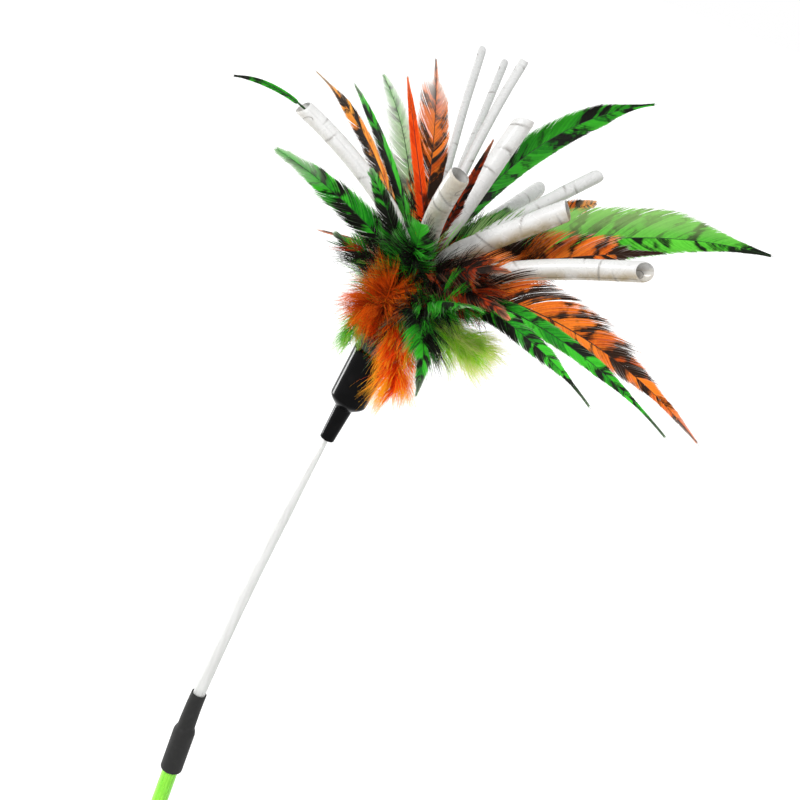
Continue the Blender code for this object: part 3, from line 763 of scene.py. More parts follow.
vaneFinish = {
    "barEdge": 0.24,
    "barDrift": 0.90,
    "driftScale": 190.0,
    "mottleScale": 900.0,
    "toneShare": 0.75,
    "mottleShare": 0.4,
    "colorEdges": (0.20, 0.85),
    "endsFrom": 0.55,
    "endsShare": 0.55,
    "roughness": (0.50, 0.70),
    "sheen": 0.02,
    "specular": 0.10,
}
shaftFinish = {"grainScale": 900.0, "colorEdges": (0.35, 0.70), "roughness": (0.34, 0.48), "specular": 0.3}


# Barbs: bar counts the bars' periods, dose is a bar's dark share, reach runs from the shaft to a barb's end
@cache
def vaneDye(name):
    dye, finish = dyes[name], vaneFinish
    made, tree, shader = newMaterial("vane_" + name)
    bar, dose, reach, toneAndShade, pale = (attribute(tree, key) for key in ("bar", "dose", "reach", "toneAndShade", "pale"))
    cloud = noise(objectPlace(tree), finish["driftScale"], 3.0)
    drift = times(minus(cloud, 0.5), finish["barDrift"])
    wave = times(combine("PINGPONG", plus(bar, drift), 0.5), 2.0)
    dyed = remap(wave, minus(dose, finish["barEdge"]), plus(dose, finish["barEdge"]))
    speck = noise(objectPlace(tree), finish["mottleScale"], 2.0)
    # Each barb's share of the lit colour against the deep one is painted light and shade
    mixed = plus(times(toneAndShade, finish["toneShare"]), times(speck, finish["mottleShare"]))
    color = shades(mixed, *finish["colorEdges"], dye["deepShade"], dye["bright"])
    color = blendColors(remap(reach, finish["endsFrom"], 1.0, 0.0, finish["endsShare"]), color, dye["ends"])
    color = blendColors(dyed, dye["dark"], color)
    setInputs(shader, {
        "Base Color": blendColors(pale, color, dye["wisp"]),
        "Roughness": roughen(speck, finish["roughness"]),
        "Sheen Weight": finish["sheen"],
        "Specular IOR Level": finish["specular"],
    })
    return made


@cache
def shaftHorn(name):
    made, tree, shader = newMaterial("shaft_" + name)
    grain = noise(objectPlace(tree), shaftFinish["grainScale"], 3.0)
    setInputs(shader, {
        "Base Color": shades(grain, *shaftFinish["colorEdges"], dyes[name]["dark"], dyes[name]["shaft"]),
        "Roughness": roughen(grain, shaftFinish["roughness"]),
        "Specular IOR Level": shaftFinish["specular"],
    })
    return made


# Shaft of a feather or quill of a tuft: a tapered horn that stands on the glue in the cup
def shaftMesh(line, foot, top, thick, thin, rings):
    mesh = barMesh(6, rings)
    for vert in mesh.verts:
        distance = foot + (top - foot) * vert.co.z / rings
        radius = thick + (thin - thick) * max(distance / top, 0.0) ** 0.7
        vert.co = Vector(onLine(line, distance, vert.co.x * radius, vert.co.y * radius))
    return mesh


# Shares of a feather's length and of its half width there, and of a barb's length and its own width there
vaneShape = {
    "places": (0.0, 0.05, 0.12, 0.22, 0.34, 0.46, 0.58, 0.70, 0.82, 0.92, 1.0),
    "widths": (0.70, 0.84, 0.92, 0.97, 1.0, 1.0, 0.94, 0.80, 0.58, 0.33, 0.06),
    "barbPlaces": (0.0, 0.12, 0.25, 0.40, 0.55, 0.70, 0.85, 1.0),
    "barbWidths": (0.95, 1.0, 1.0, 1.0, 0.92, 0.74, 0.44, 0.04),
    "pitch": 0.00031,
    "fewest": 40,
    "bareFoot": 0.01,
    "barbed": 0.975,
    "stations": 5,
    "rootGap": 0.00010,
    "shortest": 0.0012,
    "locks": 90,
    "barbHalfWidth": 0.00027,
    "barbThickness": 0.00004,
    "rootAngles": (54.0, 25.0),
    "endAngles": (22.0, 8.0),
    "lockLength": 0.0070,
    "lockTurn": 1.1,
    "lockPull": 0.006,
    "cup": 0.20,
    "shingle": 0.24,
    "downReach": 0.044,
    "downPlaces": (0.0, 0.006, 0.024, 0.036, 0.046),
    "downWidths": (0.55, 0.95, 1.0, 0.65, 0.0),
    "downSpread": 0.60,
    "tailWidth": 0.32,
    "tailPast": 0.05,
    "shaftThin": 0.00007,
    "shaftRings": 44,
}

# How barbs differ from each other and from lock to lock. Angles are in degrees, twists in radians.
barbVariety = {
    "root": 0.7,
    "lockSizes": (0.4, 1.7),
    "angles": (0.8, 1.0),
    "endTurn": 0.6,
    "downAngles": (14, 20),
    "lengths": (0.94, 1.02),
    "lockReach": 0.035,
    "strayLengths": (1.05, 1.25),
    "strayWidth": 0.45,
    "downWidth": 0.55,
    "wispWidth": 0.38,
    "wispFade": 0.10,
    "wave": 0.0014,
    "lockLift": 0.022,
    "downLift": 0.25,
    "strayLift": 0.12,
    "twist": 0.07,
    "barWave": 0.30,
    "barWaveTurn": 2.3,
    "barLock": 0.20,
    "barSide": 0.3,
    "barNoise": 0.05,
    "barLean": 0.6,
    "doses": (0.1, 1.9),
    "doseBars": 64,
}

# How dark and how pale barbs turn. A dose is the dark share of a bar: above one the bar is dark all over,
# and below zero nothing of it is dark.
barbPaints = {
    "footFade": 0.34,
    "footDose": 1.15,
    "tipFade": 0.06,
    "tipDose": 1.2,
    "downDoses": (-0.5, 1.2),
    # Shares of the lit colour: painted light and shade, random by barb, more on lifted locks and less on the
    # down
    "tones": (0.28, 0.78),
    "liftTone": 0.20,
    "downTone": 0.5,
    "sidePale": 0.62,
    "sideEnd": 0.92,
    "strayPale": 0.6,
    "wispPales": (0.15, 1.0),
    "palest": 0.95,
}

# Looks of each feather. As shares of its length: where barbs turn thin and pale (wisp), where the vane
# turns narrow (tail, begun a share taper before it) and where it turns dark (tipDark). Base is extra dark
# at the foot, fuller a factor of the width, wideSide a share added to one side and paleSide the side that
# pales, each by its sign. Stray is the share of long loose barbs, loose how far locks part, longest the
# greatest length of barbs and barbWide a factor of a barb's own width. The foot is footWidth wide,
# footReach and downLength are factors of its reach and its down's length, downy is how loose its barbs
# are and down its number of locks. Shift, leanShift and rollShift comb the feather away from its solid in
# degrees, and trim is a factor of its length.
plainLook = {
    "wisp": 0.90, "tail": 1.2, "taper": 0.10, "tipDark": 1.2, "base": 0.30, "fuller": 1.0, "wideSide": 0.0,
    "paleSide": 0.0, "stray": 0.08, "loose": 1.0, "longest": 0.019, "barbWide": 1.0, "footWidth": 0.0085,
    "footReach": 1.0, "downy": 1.0, "down": 20, "downLength": 1.0, "shift": 0.0, "leanShift": 0.0,
    "rollShift": 0.0, "trim": 1.0,
}
shaggy = {"down": 80, "downLength": 1.2, "loose": 3.2, "stray": 0.35, "footWidth": 0.015, "footReach": 1.4}
featherLooks = {
    "feather_red_short": {"footWidth": 0.004, "down": 6},
    "feather_red_plain": {"base": 0.0, "stray": 0.03, "fuller": 0.72, "down": 6, "footWidth": 0.004},
    "feather_orange_upright": {
        "wisp": 0.72, "tail": 0.84, "stray": 0.14, "base": 0.0, "fuller": 1.8, "shift": -8.0,
    },
    "feather_green_crown": {
        "fuller": 1.8, "base": 0.0, "down": 34, "stray": 0.2, "loose": 1.4, "footWidth": 0.013,
        "footReach": 1.3,
    },
    "feather_green_long_upper": {
        "base": 0.10, "stray": 0.0, "wisp": 1.2, "tail": 0.90, "loose": 0.35, "wideSide": -0.30,
        "barbWide": 1.3, "longest": 0.022, "down": 40,
    },
    "feather_green_narrow_left": {"down": 16, "footWidth": 0.006},
    "feather_green_front": {
        "fuller": 2.0, "down": 60, "downLength": 1.2, "stray": 0.2, "loose": 2.0, "base": 0.1, "wisp": 1.2,
        "footWidth": 0.017, "footReach": 1.2,
    },
    "feather_green_wispy": {
        "wisp": 0.50, "stray": 0.30, "loose": 2.6, "fuller": 1.7, "rollShift": -60.0, "shift": -4.0,
    },
    "feather_orange_left": {
        "wisp": 0.86, "tail": 0.86, "stray": 0.12, "tipDark": 0.90, "shift": -8.0, "fuller": 1.25,
    },
    "feather_green_left": {"wisp": 0.78, "stray": 0.26, "loose": 2.0, "down": 40, "footWidth": 0.012},
    "feather_green_front_left": {
        "loose": 2.0, "stray": 0.25, "down": 50, "downLength": 1.2, "footWidth": 0.012,
    },
    "feather_orange_front": shaggy,
    "feather_red_front_right": shaggy,
    "feather_red_front_left": {"down": 16, "footWidth": 0.004, "trim": 0.62},
    "feather_green_lower_outer": {
        "tail": 0.84, "tipDark": 0.9, "loose": 1.5, "fuller": 0.8, "down": 60, "footWidth": 0.012,
        "footReach": 1.3,
    },
    "feather_green_lower_inner": {
        "tail": 0.84, "tipDark": 0.84, "loose": 1.5, "stray": 0.16, "fuller": 0.85, "down": 60,
        "footWidth": 0.013, "footReach": 1.3,
    },
    "feather_orange_long_lower": {
        "wisp": 0.90, "tail": 0.80, "taper": 0.34, "stray": 0.30, "loose": 1.8, "base": 0.55,
        "wideSide": 0.95, "longest": 0.025, "down": 80, "downLength": 1.3, "footWidth": 0.016,
        "footReach": 1.5,
    },
    "feather_dark_right": {
        "wisp": 1.2, "tail": 0.82, "tipDark": 0.92, "wideSide": 0.5, "longest": 0.022, "fuller": 1.5,
        "down": 90, "downLength": 1.3, "stray": 0.3, "loose": 2.2, "footWidth": 0.017, "footReach": 1.8,
    },
    "feather_green_long_right": {
        "paleSide": 1.0, "leanShift": -2.0, "stray": 0.0, "base": 0.05, "wisp": 1.2, "tail": 0.96,
        "taper": 0.34, "tipDark": 0.90, "loose": 0.35, "wideSide": 1.15, "longest": 0.028,
        "barbWide": 1.35, "down": 60, "footWidth": 0.013, "footReach": 1.5,
    },
    "feather_orange_back_right": {"fuller": 1.3},
    "feather_green_spiky_left": {
        "loose": 2.6, "stray": 0.30, "down": 34, "downLength": 1.2, "footWidth": 0.011,
    },
    "feather_green_hanging": {
        "shift": 16.0, "trim": 0.92, "tail": 0.92, "taper": 0.5, "tipDark": 0.86, "fuller": 1.8,
        "loose": 1.6, "stray": 0.3, "base": 0.8, "down": 70, "downLength": 1.3, "footWidth": 0.014,
        "footReach": 1.3,
    },
    "feather_green_front_low": {
        "down": 80, "downLength": 1.3, "loose": 2.6, "stray": 0.3, "fuller": 1.4, "footWidth": 0.015,
        "footReach": 1.4,
    },
    "feather_green_thin": {
        "down": 0, "downy": 0.0, "footWidth": 0.0, "base": 0.0, "wisp": 1.2, "tipDark": 0.75, "loose": 0.4,
        "stray": 0.0,
    },
}


def between(pair, share):
    return pair[0] + (pair[1] - pair[0]) * share


# A barb leaves the shaft at one angle and ends at a smaller one, so it runs forward and sideways along an arc
def arcRun(start, turning, length, share):
    bent = start + turning * share
    forward = length * (np.sin(bent) - np.sin(start)) / turning
    return forward, length * (np.cos(start) - np.cos(bent)) / turning, bent


# Half width of the vane at places along it, or of the down at its foot where that is wider
def vaneOutline(place, halfWidth, look, length):
    ends = (look["tail"] - look["taper"], look["tail"] + vaneShape["tailPast"])
    narrow = np.interp(place, ends, (1.0, vaneShape["tailWidth"]))
    vane = halfWidth * np.interp(place, vaneShape["places"], vaneShape["widths"]) * narrow
    footPlace = place * length / look["footReach"]
    foot = look["footWidth"] * np.interp(footPlace, vaneShape["downPlaces"], vaneShape["downWidths"])
    return np.maximum(vane, foot)


# Locks are barbs that lie together: each barb gets its lock's number and its place in it from -1 to 1
def findLocks(root, hand, length, rng):
    sizes = rng.uniform(*barbVariety["lockSizes"], vaneShape["locks"])
    ends = np.cumsum(sizes * vaneShape["lockLength"]) / length
    lock = np.searchsorted(ends, root)
    start = np.where(lock > 0, ends[np.maximum(lock - 1, 0)], 0.0)
    inLock = (root - start) / (ends[lock] - start) * 2 - 1
    return lock + np.where(hand > 0, 0, vaneShape["locks"]), inLock


# Barbs stand two by two along the shaft, each just long enough for its end to reach the vane's outline
def barbStrands(line, halfWidth, barSpacing, darkShare, look, rng):
    shape, vary, loose = vaneShape, barbVariety, look["loose"]
    reach, side, ridge = strandCorners(shape["stations"])
    length = line["length"]
    perSide = max(int(length / shape["pitch"]), shape["fewest"])
    one = (perSide * 2, 1)
    index = np.arange(one[0])[:, None]
    hand = np.where(index % 2 == 0, 1.0, -1.0)
    root = shape["bareFoot"] + shape["barbed"] * (index // 2 + rng.random(one) * vary["root"]) / perSide
    wider = np.abs(look["wideSide"]) * (hand * look["wideSide"] > 0) * (1 - root ** 2)
    halfWidth = halfWidth * (1 + wider)
    lock, inLock = findLocks(root, hand, length, rng)
    lockTurn, lockReach, lockGap, lockLift, lockPhase = rng.normal(size=(5, shape["locks"] * 2))[:, lock]
    down = np.clip(1 - root * length / shape["downReach"] / look["footReach"], 0.0, 1.0) * look["downy"]
    turned = lockTurn * shape["lockTurn"] * loose
    start = between(shape["rootAngles"], root) + turned + rng.normal(0, vary["angles"][0], one)
    turned = turned * vary["endTurn"]
    end = between(shape["endAngles"], root) + turned + rng.normal(0, vary["angles"][1], one)
    start = np.radians(start + down * vary["downAngles"][0])
    turning = np.radians(end + down * vary["downAngles"][1]) - start
    forward, sideways, _ = arcRun(start, turning, 1.0, 1.0)
    tip = root
    for _ in range(4):
        tip = np.minimum(root + vaneOutline(tip, halfWidth, look, length) * forward / sideways / length, 1.05)
    stray = rng.random(one) < look["stray"]
    barbLength = vaneOutline(tip, halfWidth, look, length) / sideways
    uneven = 1 + vary["lockReach"] * loose * np.clip(lockReach, -2, 1)
    barbLength *= uneven * rng.uniform(*vary["lengths"], one)
    barbLength = barbLength * np.where(stray, rng.uniform(*vary["strayLengths"], one), 1.0)
    barbLength = np.clip(barbLength, shape["shortest"], look["longest"])
    forward, sideways, bent = arcRun(start, turning, barbLength, reach)
    pull = shape["lockPull"] * loose * np.clip(np.abs(lockGap) ** 3, 0.1, 4.0)
    wave = down * vary["wave"] * np.sin(reach * rng.uniform(3, 7, one) + rng.uniform(0, 6, one)) * reach
    distance = root * length + forward - inLock * pull * barbLength * reach ** 2 + wave
    across = hand * (shape["rootGap"] + sideways + wave)
    out = vary["lockLift"] * lockLift * loose * sideways - shape["cup"] * sideways ** 2 / halfWidth
    lifted = rng.normal(0, vary["downLift"], one) + shape["downSpread"] * lockTurn
    lifted = np.clip(down * 1.6, 0, 1) * lifted
    out = out + (lifted + stray * rng.normal(0, vary["strayLift"], one)) * sideways
    twist = shape["shingle"] + rng.normal(0, vary["twist"], one) + down * rng.uniform(-1, 1, one)
    wisp = np.clip((tip - look["wisp"]) / vary["wispFade"], 0.0, 1.0)
    half = shape["barbHalfWidth"] * np.interp(reach, shape["barbPlaces"], shape["barbWidths"])
    half = half * between((1.0, vary["downWidth"]), down) * between((1.0, vary["wispWidth"]), wisp * reach)
    half = half * np.where(stray, vary["strayWidth"], 1.0) * look["barbWide"]
    distance = distance - side * half * np.sin(bent) * np.cos(twist)
    across = across + side * half * np.cos(bent) * np.cos(twist) * hand
    out = out + side * half * np.sin(twist) + ridge * shape["barbThickness"]
    place = root * length + vary["barLean"] * forward
    barb = {"hand": hand, "down": down, "stray": stray, "phase": lockPhase, "lift": lockLift, "wisp": wisp}
    made = barbPaint(barb, place / barSpacing, place / length, reach, darkShare, look, rng)
    full = np.zeros_like(distance)
    return {"points": onLine(line, distance, across, out)} | {key: made[key] + full for key in made}


# How barbs are dyed: bars by their periods and place along the feather, each bar with a dark share of its own
def barbPaint(barb, bars, place, reach, darkShare, look, rng):
    vary, paint, hand, down = barbVariety, barbPaints, barb["hand"], barb["down"]
    bar = bars + vary["barWave"] * np.sin(bars * vary["barWaveTurn"] + rng.uniform(0, 6)) + rng.random()
    bar = bar + vary["barLock"] * barb["phase"] + rng.normal(0, vary["barNoise"], hand.shape)
    bar = bar + hand * rng.uniform(0.0, vary["barSide"])
    cell = np.floor(bar + 0.5).astype(int) % vary["doseBars"]
    doses = rng.uniform(*vary["doses"], (2, vary["doseBars"]))[(hand > 0).astype(int), cell] * darkShare
    doses = doses + look["base"] * np.clip(paint["footDose"] - place / paint["footFade"], 0.0, 1.0)
    doses = doses + paint["tipDose"] * np.clip((place - look["tipDark"]) / paint["tipFade"], 0.0, 1.0)
    plainDose, darkDose = paint["downDoses"]
    doses = doses + np.clip(down * 2.0, 0, 1) * np.where(barb["phase"] > 0.1, darkDose, plainDose)
    # Painted light and shade: lifted locks take more of the lit colour, the down less
    toneAndShade = between(paint["tones"], rng.random(hand.shape)) + paint["liftTone"] * barb["lift"]
    toneAndShade = np.clip(toneAndShade, 0, 1) * (1 - paint["downTone"] * down)
    paleSide = np.where(hand * look["paleSide"] > 0, paint["sidePale"], 0.0) * np.clip(reach * 2.2, 0.25, 1)
    paleSide = paleSide * np.clip((paint["sideEnd"] - place) * 4, 0, 1)
    # Wisps pale towards their ends, partly the thin barbs' own pale colour and partly painted light through
    # them
    pale = barb["wisp"] * between(paint["wispPales"], reach) + barb["stray"] * paint["strayPale"] * reach ** 2
    pale = np.clip(pale + paleSide, 0.0, paint["palest"])
    return {"bar": bar, "dose": doses, "reach": reach, "toneAndShade": toneAndShade, "pale": pale}


# How the strands and locks of down differ, at a feather's foot and in a tuft alike. Angles are in degrees.
tuftVariety = {
    "angle": 3.0,
    "strayAngle": 25.0,
    "lockLengths": (0.55, 1.15),
    "strandLengths": (0.70, 1.0),
    "strandWidths": (0.6, 1.2),
    "endWidth": 0.12,
    "waveTurns": (4, 9),
    "sags": (0.3, 1.0),
    # Shares of the lit colour as painted light and shade by strand and lock, and a real grading along the
    # tuft
    "randomTone": 0.25,
    "lockTone": 0.25,
    "placeTone": 0.55,
}


# Locks of soft strands leave a line all round it and run together towards their ends
def tuftStrands(line, shape, rng):
    vary = tuftVariety
    reach, side, ridge = strandCorners(shape["stations"])
    count = shape["locks"] * shape["strands"]
    one = (count, 1)
    lock = np.arange(count)[:, None] // shape["strands"]
    place, turn, size, lift, shade = rng.random((5, shape["locks"]))[:, lock]
    stray = rng.random(one) < shape["stray"]
    heading = turn * math.tau + rng.normal(0, shape["fan"], one)
    lockStart = between(shape["startAngles"], 0.7 * place + 0.3 * lift)
    loosened = rng.normal(0, vary["angle"], one) + stray * rng.uniform(0, vary["strayAngle"], one)
    start = np.radians(lockStart + loosened)
    turning = np.radians(between(shape["endAngles"], lift)) - start
    lockLength = shape["lockLength"] * between(vary["lockLengths"], size)
    strandLength = lockLength * rng.uniform(*vary["strandLengths"], one)
    forward, sideways, _ = arcRun(start, turning, strandLength, reach)
    spreadOut = shape["rootSpread"] * np.sqrt(rng.random(one))
    around = rng.uniform(0, math.tau, one)
    near = between((1.0, shape["tipSpread"] / shape["rootSpread"]), reach ** 0.8)
    near = np.where(stray, 1.0 + reach, near)
    turns = rng.uniform(*vary["waveTurns"], one)
    wave = shape["wave"] * np.sin(reach * turns + rng.uniform(0, 6, one)) * reach
    root = between(shape["roots"], place) + (rng.random(one) - 0.5) * shape["rootSpread"] * 2
    distance = root + forward
    across = sideways * np.cos(heading) + spreadOut * near * np.cos(around) + wave
    out = sideways * np.sin(heading) + spreadOut * near * np.sin(around) + wave * rng.uniform(-1, 1, one)
    half = shape["halfWidth"] * between((1.0, vary["endWidth"]), reach ** 1.3)
    half = half * rng.uniform(*vary["strandWidths"], one)
    face = rng.uniform(0, math.tau, one)
    across = across + side * half * np.cos(face)
    out = out + side * half * np.sin(face) + ridge * shape["thickness"]
    points = onLine(line, distance, across, out)
    points[:, :, 2] -= shape["sag"] * reach ** 2 * rng.uniform(*vary["sags"], one)
    full = np.zeros_like(distance)
    toneAndShade = vary["randomTone"] * rng.random(one) + vary["lockTone"] * shade + vary["placeTone"] * place
    return {"points": points, "reach": reach + full, "toneAndShade": toneAndShade + full, "lock": lock + full}


# Down round the foot of a feather, which fills the middle of the bundle
downShape = {
    "strands": 16,
    "stations": 5,
    "halfWidth": 0.00019,
    "thickness": 0.00004,
    "lockLength": 0.0150,
    "roots": (-0.002, 0.036),
    "rootSpread": 0.0016,
    "tipSpread": 0.0007,
    "startAngles": (86.0, 48.0),
    "endAngles": (46.0, 8.0),
    "fan": 0.10,
    "wave": 0.0006,
    "sag": 0.0010,
    "stray": 0.12,
    "darkLocks": 0.72,
    "doses": (-0.4, 1.4),
    # The down takes less of the lit colour, painted shade in the middle of the bundle
    "toneAndShade": 0.8,
    "reach": 0.7,
}


# The same attributes as on the barbs: a lock is all dark or all in the dye's own colour
def downStrands(line, look, rng):
    shape = {**downShape, "locks": look["down"]}
    shape["lockLength"] = shape["lockLength"] * look["downLength"]
    shape["roots"] = (shape["roots"][0], shape["roots"][1] * look["footReach"])
    made = tuftStrands(line, shape, rng)
    dark = rng.random(shape["locks"]) < shape["darkLocks"]
    made["dose"] = np.where(dark[made.pop("lock").astype(int)], shape["doses"][1], shape["doses"][0])
    made["bar"] = np.full_like(made["dose"], 0.5)
    made["pale"] = np.zeros_like(made["dose"])
    made["toneAndShade"] = made["toneAndShade"] * shape["toneAndShade"]
    made["reach"] = made["reach"] * shape["reach"]
    return {key: made[key] for key in ("points", "bar", "dose", "reach", "toneAndShade", "pale")}


# Strands and a shaft or quill as one piece, with a material for each
def strandPiece(name, strands, stations, shaft, materials):
    mesh = bmesh.new()
    strandData = strandMesh(strands, stations)
    mesh.from_mesh(strandData)
    strandFaces = len(mesh.faces)
    shaftData = bpy.data.meshes.new("shaft")
    shaft.to_mesh(shaftData)
    shaft.free()
    mesh.from_mesh(shaftData)
    bpy.data.meshes.remove(strandData)
    bpy.data.meshes.remove(shaftData)
    mesh.faces.ensure_lookup_table()
    for face in mesh.faces[strandFaces:]:
        face.material_index = 1
    made = finishPiece(name, mesh, materials, smoothAngle=30.0)
    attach(made, "head")
    return made


def lookOf(name):
    return {**plainLook, **featherLooks.get(name, {})}


def makeFeather(name, line, width, paint, rng, foot):
    dye, barSpacing, darkShare = paint
    look = lookOf(name)
    halfWidth = width / 2 * look["fuller"]
    sets = [barbStrands(line, halfWidth, barSpacing, darkShare, look, rng)]
    if look["down"]:
        sets.append(downStrands(line, look, rng))
    shaftEnds = (foot, line["length"], bundle["quillRadius"], vaneShape["shaftThin"])
    shaft = shaftMesh(line, *shaftEnds, vaneShape["shaftRings"])
    materials = [vaneDye(dye), shaftHorn(dye)]
    made = strandPiece(name + "_vane", joinStrands(sets), vaneShape["stations"], shaft, materials)
    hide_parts(name)


def makeFeathers():
    for number, (name, row) in enumerate(featherRows.items()):
        ringName, turn, lean, droop, swing, roll, lengthShare, widthShare = row[:8]
        look = lookOf(name)
        length = featherSize["length"] * lengthShare * look["trim"]
        turn, lean, roll = turn + look["shift"], lean + look["leanShift"], roll + look["rollShift"]
        line = freeLine(name, ringName, turn, lean, droop, swing, roll, length, bundle["flare"])
        foot = bundle["quillFoot"] - bundle["flareHeights"][ringName]
        width = featherSize["width"] * widthShare
        makeFeather(name, line, width, row[8:], np.random.default_rng(seeds["feathers"] + number), foot)


makeFeathers()
print("feathers made")


# Film tubes: a flat sheet of film is rolled up, pinched at the bundle and creased near its end
film = {
    "length": 0.110,
    "diameter": 0.0090,
    "around": 40,
    "rows": 44,
    "stemRows": 6,
    "creaseRows": 11,
    "turns": 1.36,
    "gap": 0.00024,
    "thickness": 0.00012,
    "stemRadius": 0.00072,
    "pinchShares": (0.0, 0.12, 0.22, 0.32, 0.42, 1.0),
    "pinchWidths": (0.0, 0.02, 0.22, 0.74, 1.0, 1.0),
    "creases": (0.44, 0.56, 0.69, 0.80, 0.91),
    "creaseShift": 0.06,
    "creaseTilt": 0.7,
    "creaseHeight": 0.00010,
    "creaseLength": 0.00046,
    "grooveDepth": 0.7,
    "groovePlace": 1.7,
    "foldRadius": 2.3,
    "foldPlace": 6.5,
    "foldTurn": -0.6,
    "slantStart": 0.8,
    "creaseSpan": 0.35,
    "foldEdges": (0.10, 0.26),
    "foldFrom": 0.6,
    "lip": 0.0016,
    "lipCurl": 0.10,
    "pleats": 0.16,
    "sag": 0.00022,
    "sagWaves": 90,
    "color": (0.82, 0.82, 0.81),
    "shade": (0.76, 0.757, 0.745),
    # Colour of the painted warm light bounced off the orange feathers onto the tubes' undersides
    "warmBounce": (0.40, 0.30, 0.14),
    # Dark colour of the painted shade in the crease grooves and folds
    "creaseShade": (0.22, 0.20, 0.18),
    # Grey of the painted shade on the tubes at the back, behind the fan
    "far": (0.52, 0.53, 0.53),
    "colorEdges": (0.35, 0.75),
    "lineScale": 300.0,
    "cloudScale": 120.0,
    # How the painted warm bounce is broken up, and how far it reaches up the undersides
    "warmEdges": (0.30, 0.60),
    "leastWarm": 0.35,
    "underLift": 0.30,
    "underGain": 1.25,
    "insideShare": 0.6,
    "markShare": 0.85,
    "lineShare": 0.15,
    "bump": (0.30, 0.0003),
    "roughness": (0.20, 0.36),
    "transmission": 0.10,
    "ior": 1.40,
}

# Looks of each tube: far greys the ones at the back as painted shade, the warm bounce tints the undersides
# of those over orange feathers with painted warm light bounced off them, and slant is how far the end is cut
# off slanting, as a share of the diameter
plainTube = {"far": 0.0, "warmBounce": 0.2, "slant": 0.34}
tubeLooks = {
    "tube_rear_thin": {"far": 0.6},
    "tube_rear_thin_long": {"far": 0.5},
    "tube_upper": {"far": 0.3},
    "tube_right_pale": {"far": 0.3},
    "tube_rear_right": {"far": 0.35},
    "tube_upper_wide": {"warmBounce": 0.35},
    "tube_left": {"slant": 0.6},
    "tube_right": {"warmBounce": 1.0, "slant": 0.12},
    "tube_lower_right": {"warmBounce": 0.85, "slant": 0.75},
    "tube_front": {"warmBounce": 0.6, "slant": 0.12},
}


millimetres = 1000


# Folds are short arcs in the film drawn as dark lines of painted shade, with a dent in the bump: across runs
# round the tube and back along it, in millimetres
def foldShade(across, back, radius, sideFrom):
    wide, long = times(across, across), times(back, back)
    ring = minus(combine("SQRT", plus(wide, long)), radius)
    line = remap(combine("ABSOLUTE", ring), *film["foldEdges"], 1.0, 0.0)
    return times(line, remap(back, sideFrom, sideFrom + 1.0, 1.0, 0.0))


@cache
def filmSheet():
    made, tree, shader = newMaterial("filmSheet")
    underBounce, inside, crease, far = (attribute(tree, key) for key in ("underBounce", "inside", "crease", "far"))
    across, back = attribute(tree, "foldAcross"), attribute(tree, "foldBack")
    cloud = noise(objectPlace(tree), film["cloudScale"], 3.0)
    lines = noise(objectPlace(tree), film["lineScale"], 1.0)
    color = shades(lines, *film["colorEdges"], film["color"], film["shade"])
    # Tubes at the back greyed as painted shade
    color = blendColors(far, color, film["far"])
    # Painted warm light bounced off the orange feathers onto the undersides, broken up by the cloud
    bounceTint = times(underBounce, remap(cloud, *film["warmEdges"], film["leastWarm"], 1.0))
    color = blendColors(bounceTint, color, film["warmBounce"])
    # The inner turns are lifted back to the plain film colour, painted light against the shade inside the
    # roll
    color = blendColors(times(inside, film["insideShare"]), color, film["color"])
    # Crease grooves and folds darkened as painted shade; the same lines are dented in the bump
    fold = foldShade(across, back, film["foldRadius"], film["foldFrom"])
    creaseShades = times(combine("MAXIMUM", crease, fold), film["markShare"])
    setInputs(shader, {
        "Base Color": blendColors(creaseShades, color, film["creaseShade"]),
        "Roughness": roughen(lines, film["roughness"]),
        "Transmission Weight": film["transmission"],
        "IOR": film["ior"],
        "Normal": bump(minus(times(lines, film["lineShare"]), creaseShades), *film["bump"]),
    })
    return made


def tubeLine(name):
    ringName, turn, lean, droop, swing, lengthShare, _ = tubeRows[name]
    length = film["length"] * lengthShare
    return freeLine(name, ringName, turn, lean, droop, swing, 0.0, length, bundle["flare"])


# Places of the sheet's rows along the tube: close together at the creases and at the end
def sheetRows(length, foot, creases):
    rows = [np.linspace(foot, 0.0, film["stemRows"]), np.linspace(0.0, length, film["rows"])[1:]]
    for crease in creases:
        near = np.linspace(-1.0, 1.0, film["creaseRows"]) * film["diameter"] * film["creaseSpan"]
        rows.append(crease * length + near)
    rows.append(length - np.linspace(0.1, 1.0, 5) * film["lip"])
    return np.unique(np.concatenate(rows))


# Radius of the roll: pinched and pleated at its foot, one layer inside the other, and a little uneven
def rollRadius(body, around, angle, distance, diameter, rng):
    radius = film["stemRadius"] + (diameter / 2 - film["stemRadius"]) * body
    pleat = film["pleats"] * (1 - body) * body * 4
    radius = radius * (1 + pleat * np.sin(angle * 3 + rng.uniform(0, 6)) * 0.5)
    radius = radius - film["gap"] * around * film["turns"] * body
    swell = np.sin(distance * film["sagWaves"] + rng.uniform(0, 6)) * np.sin(angle + rng.uniform(0, 6))
    return radius + film["sag"] * swell * body


# A crease is a low ridge with a groove past it, which goes part of the way round and leans. Its groove is
# also returned as the mask of the painted shade drawn along it.
def pressCreases(radius, body, angle, distance, places, rng):
    grooveShade = 0.0 * angle
    for place in places:
        tilt = film["creaseTilt"] * rng.uniform(-1, 1) * radius * np.sin(angle + rng.uniform(0, 6))
        near = (distance - place - tilt) / film["creaseLength"]
        part = np.clip(0.5 + 0.8 * np.sin(angle + rng.uniform(0, 6)), 0.0, 1.0) * body
        groove = np.exp(-(near - film["groovePlace"]) ** 2)
        height = part * film["creaseHeight"]
        radius = radius + height * np.exp(-near ** 2) - film["grooveDepth"] * height * groove
        grooveShade = np.maximum(grooveShade, part * groove)
    return radius, grooveShade


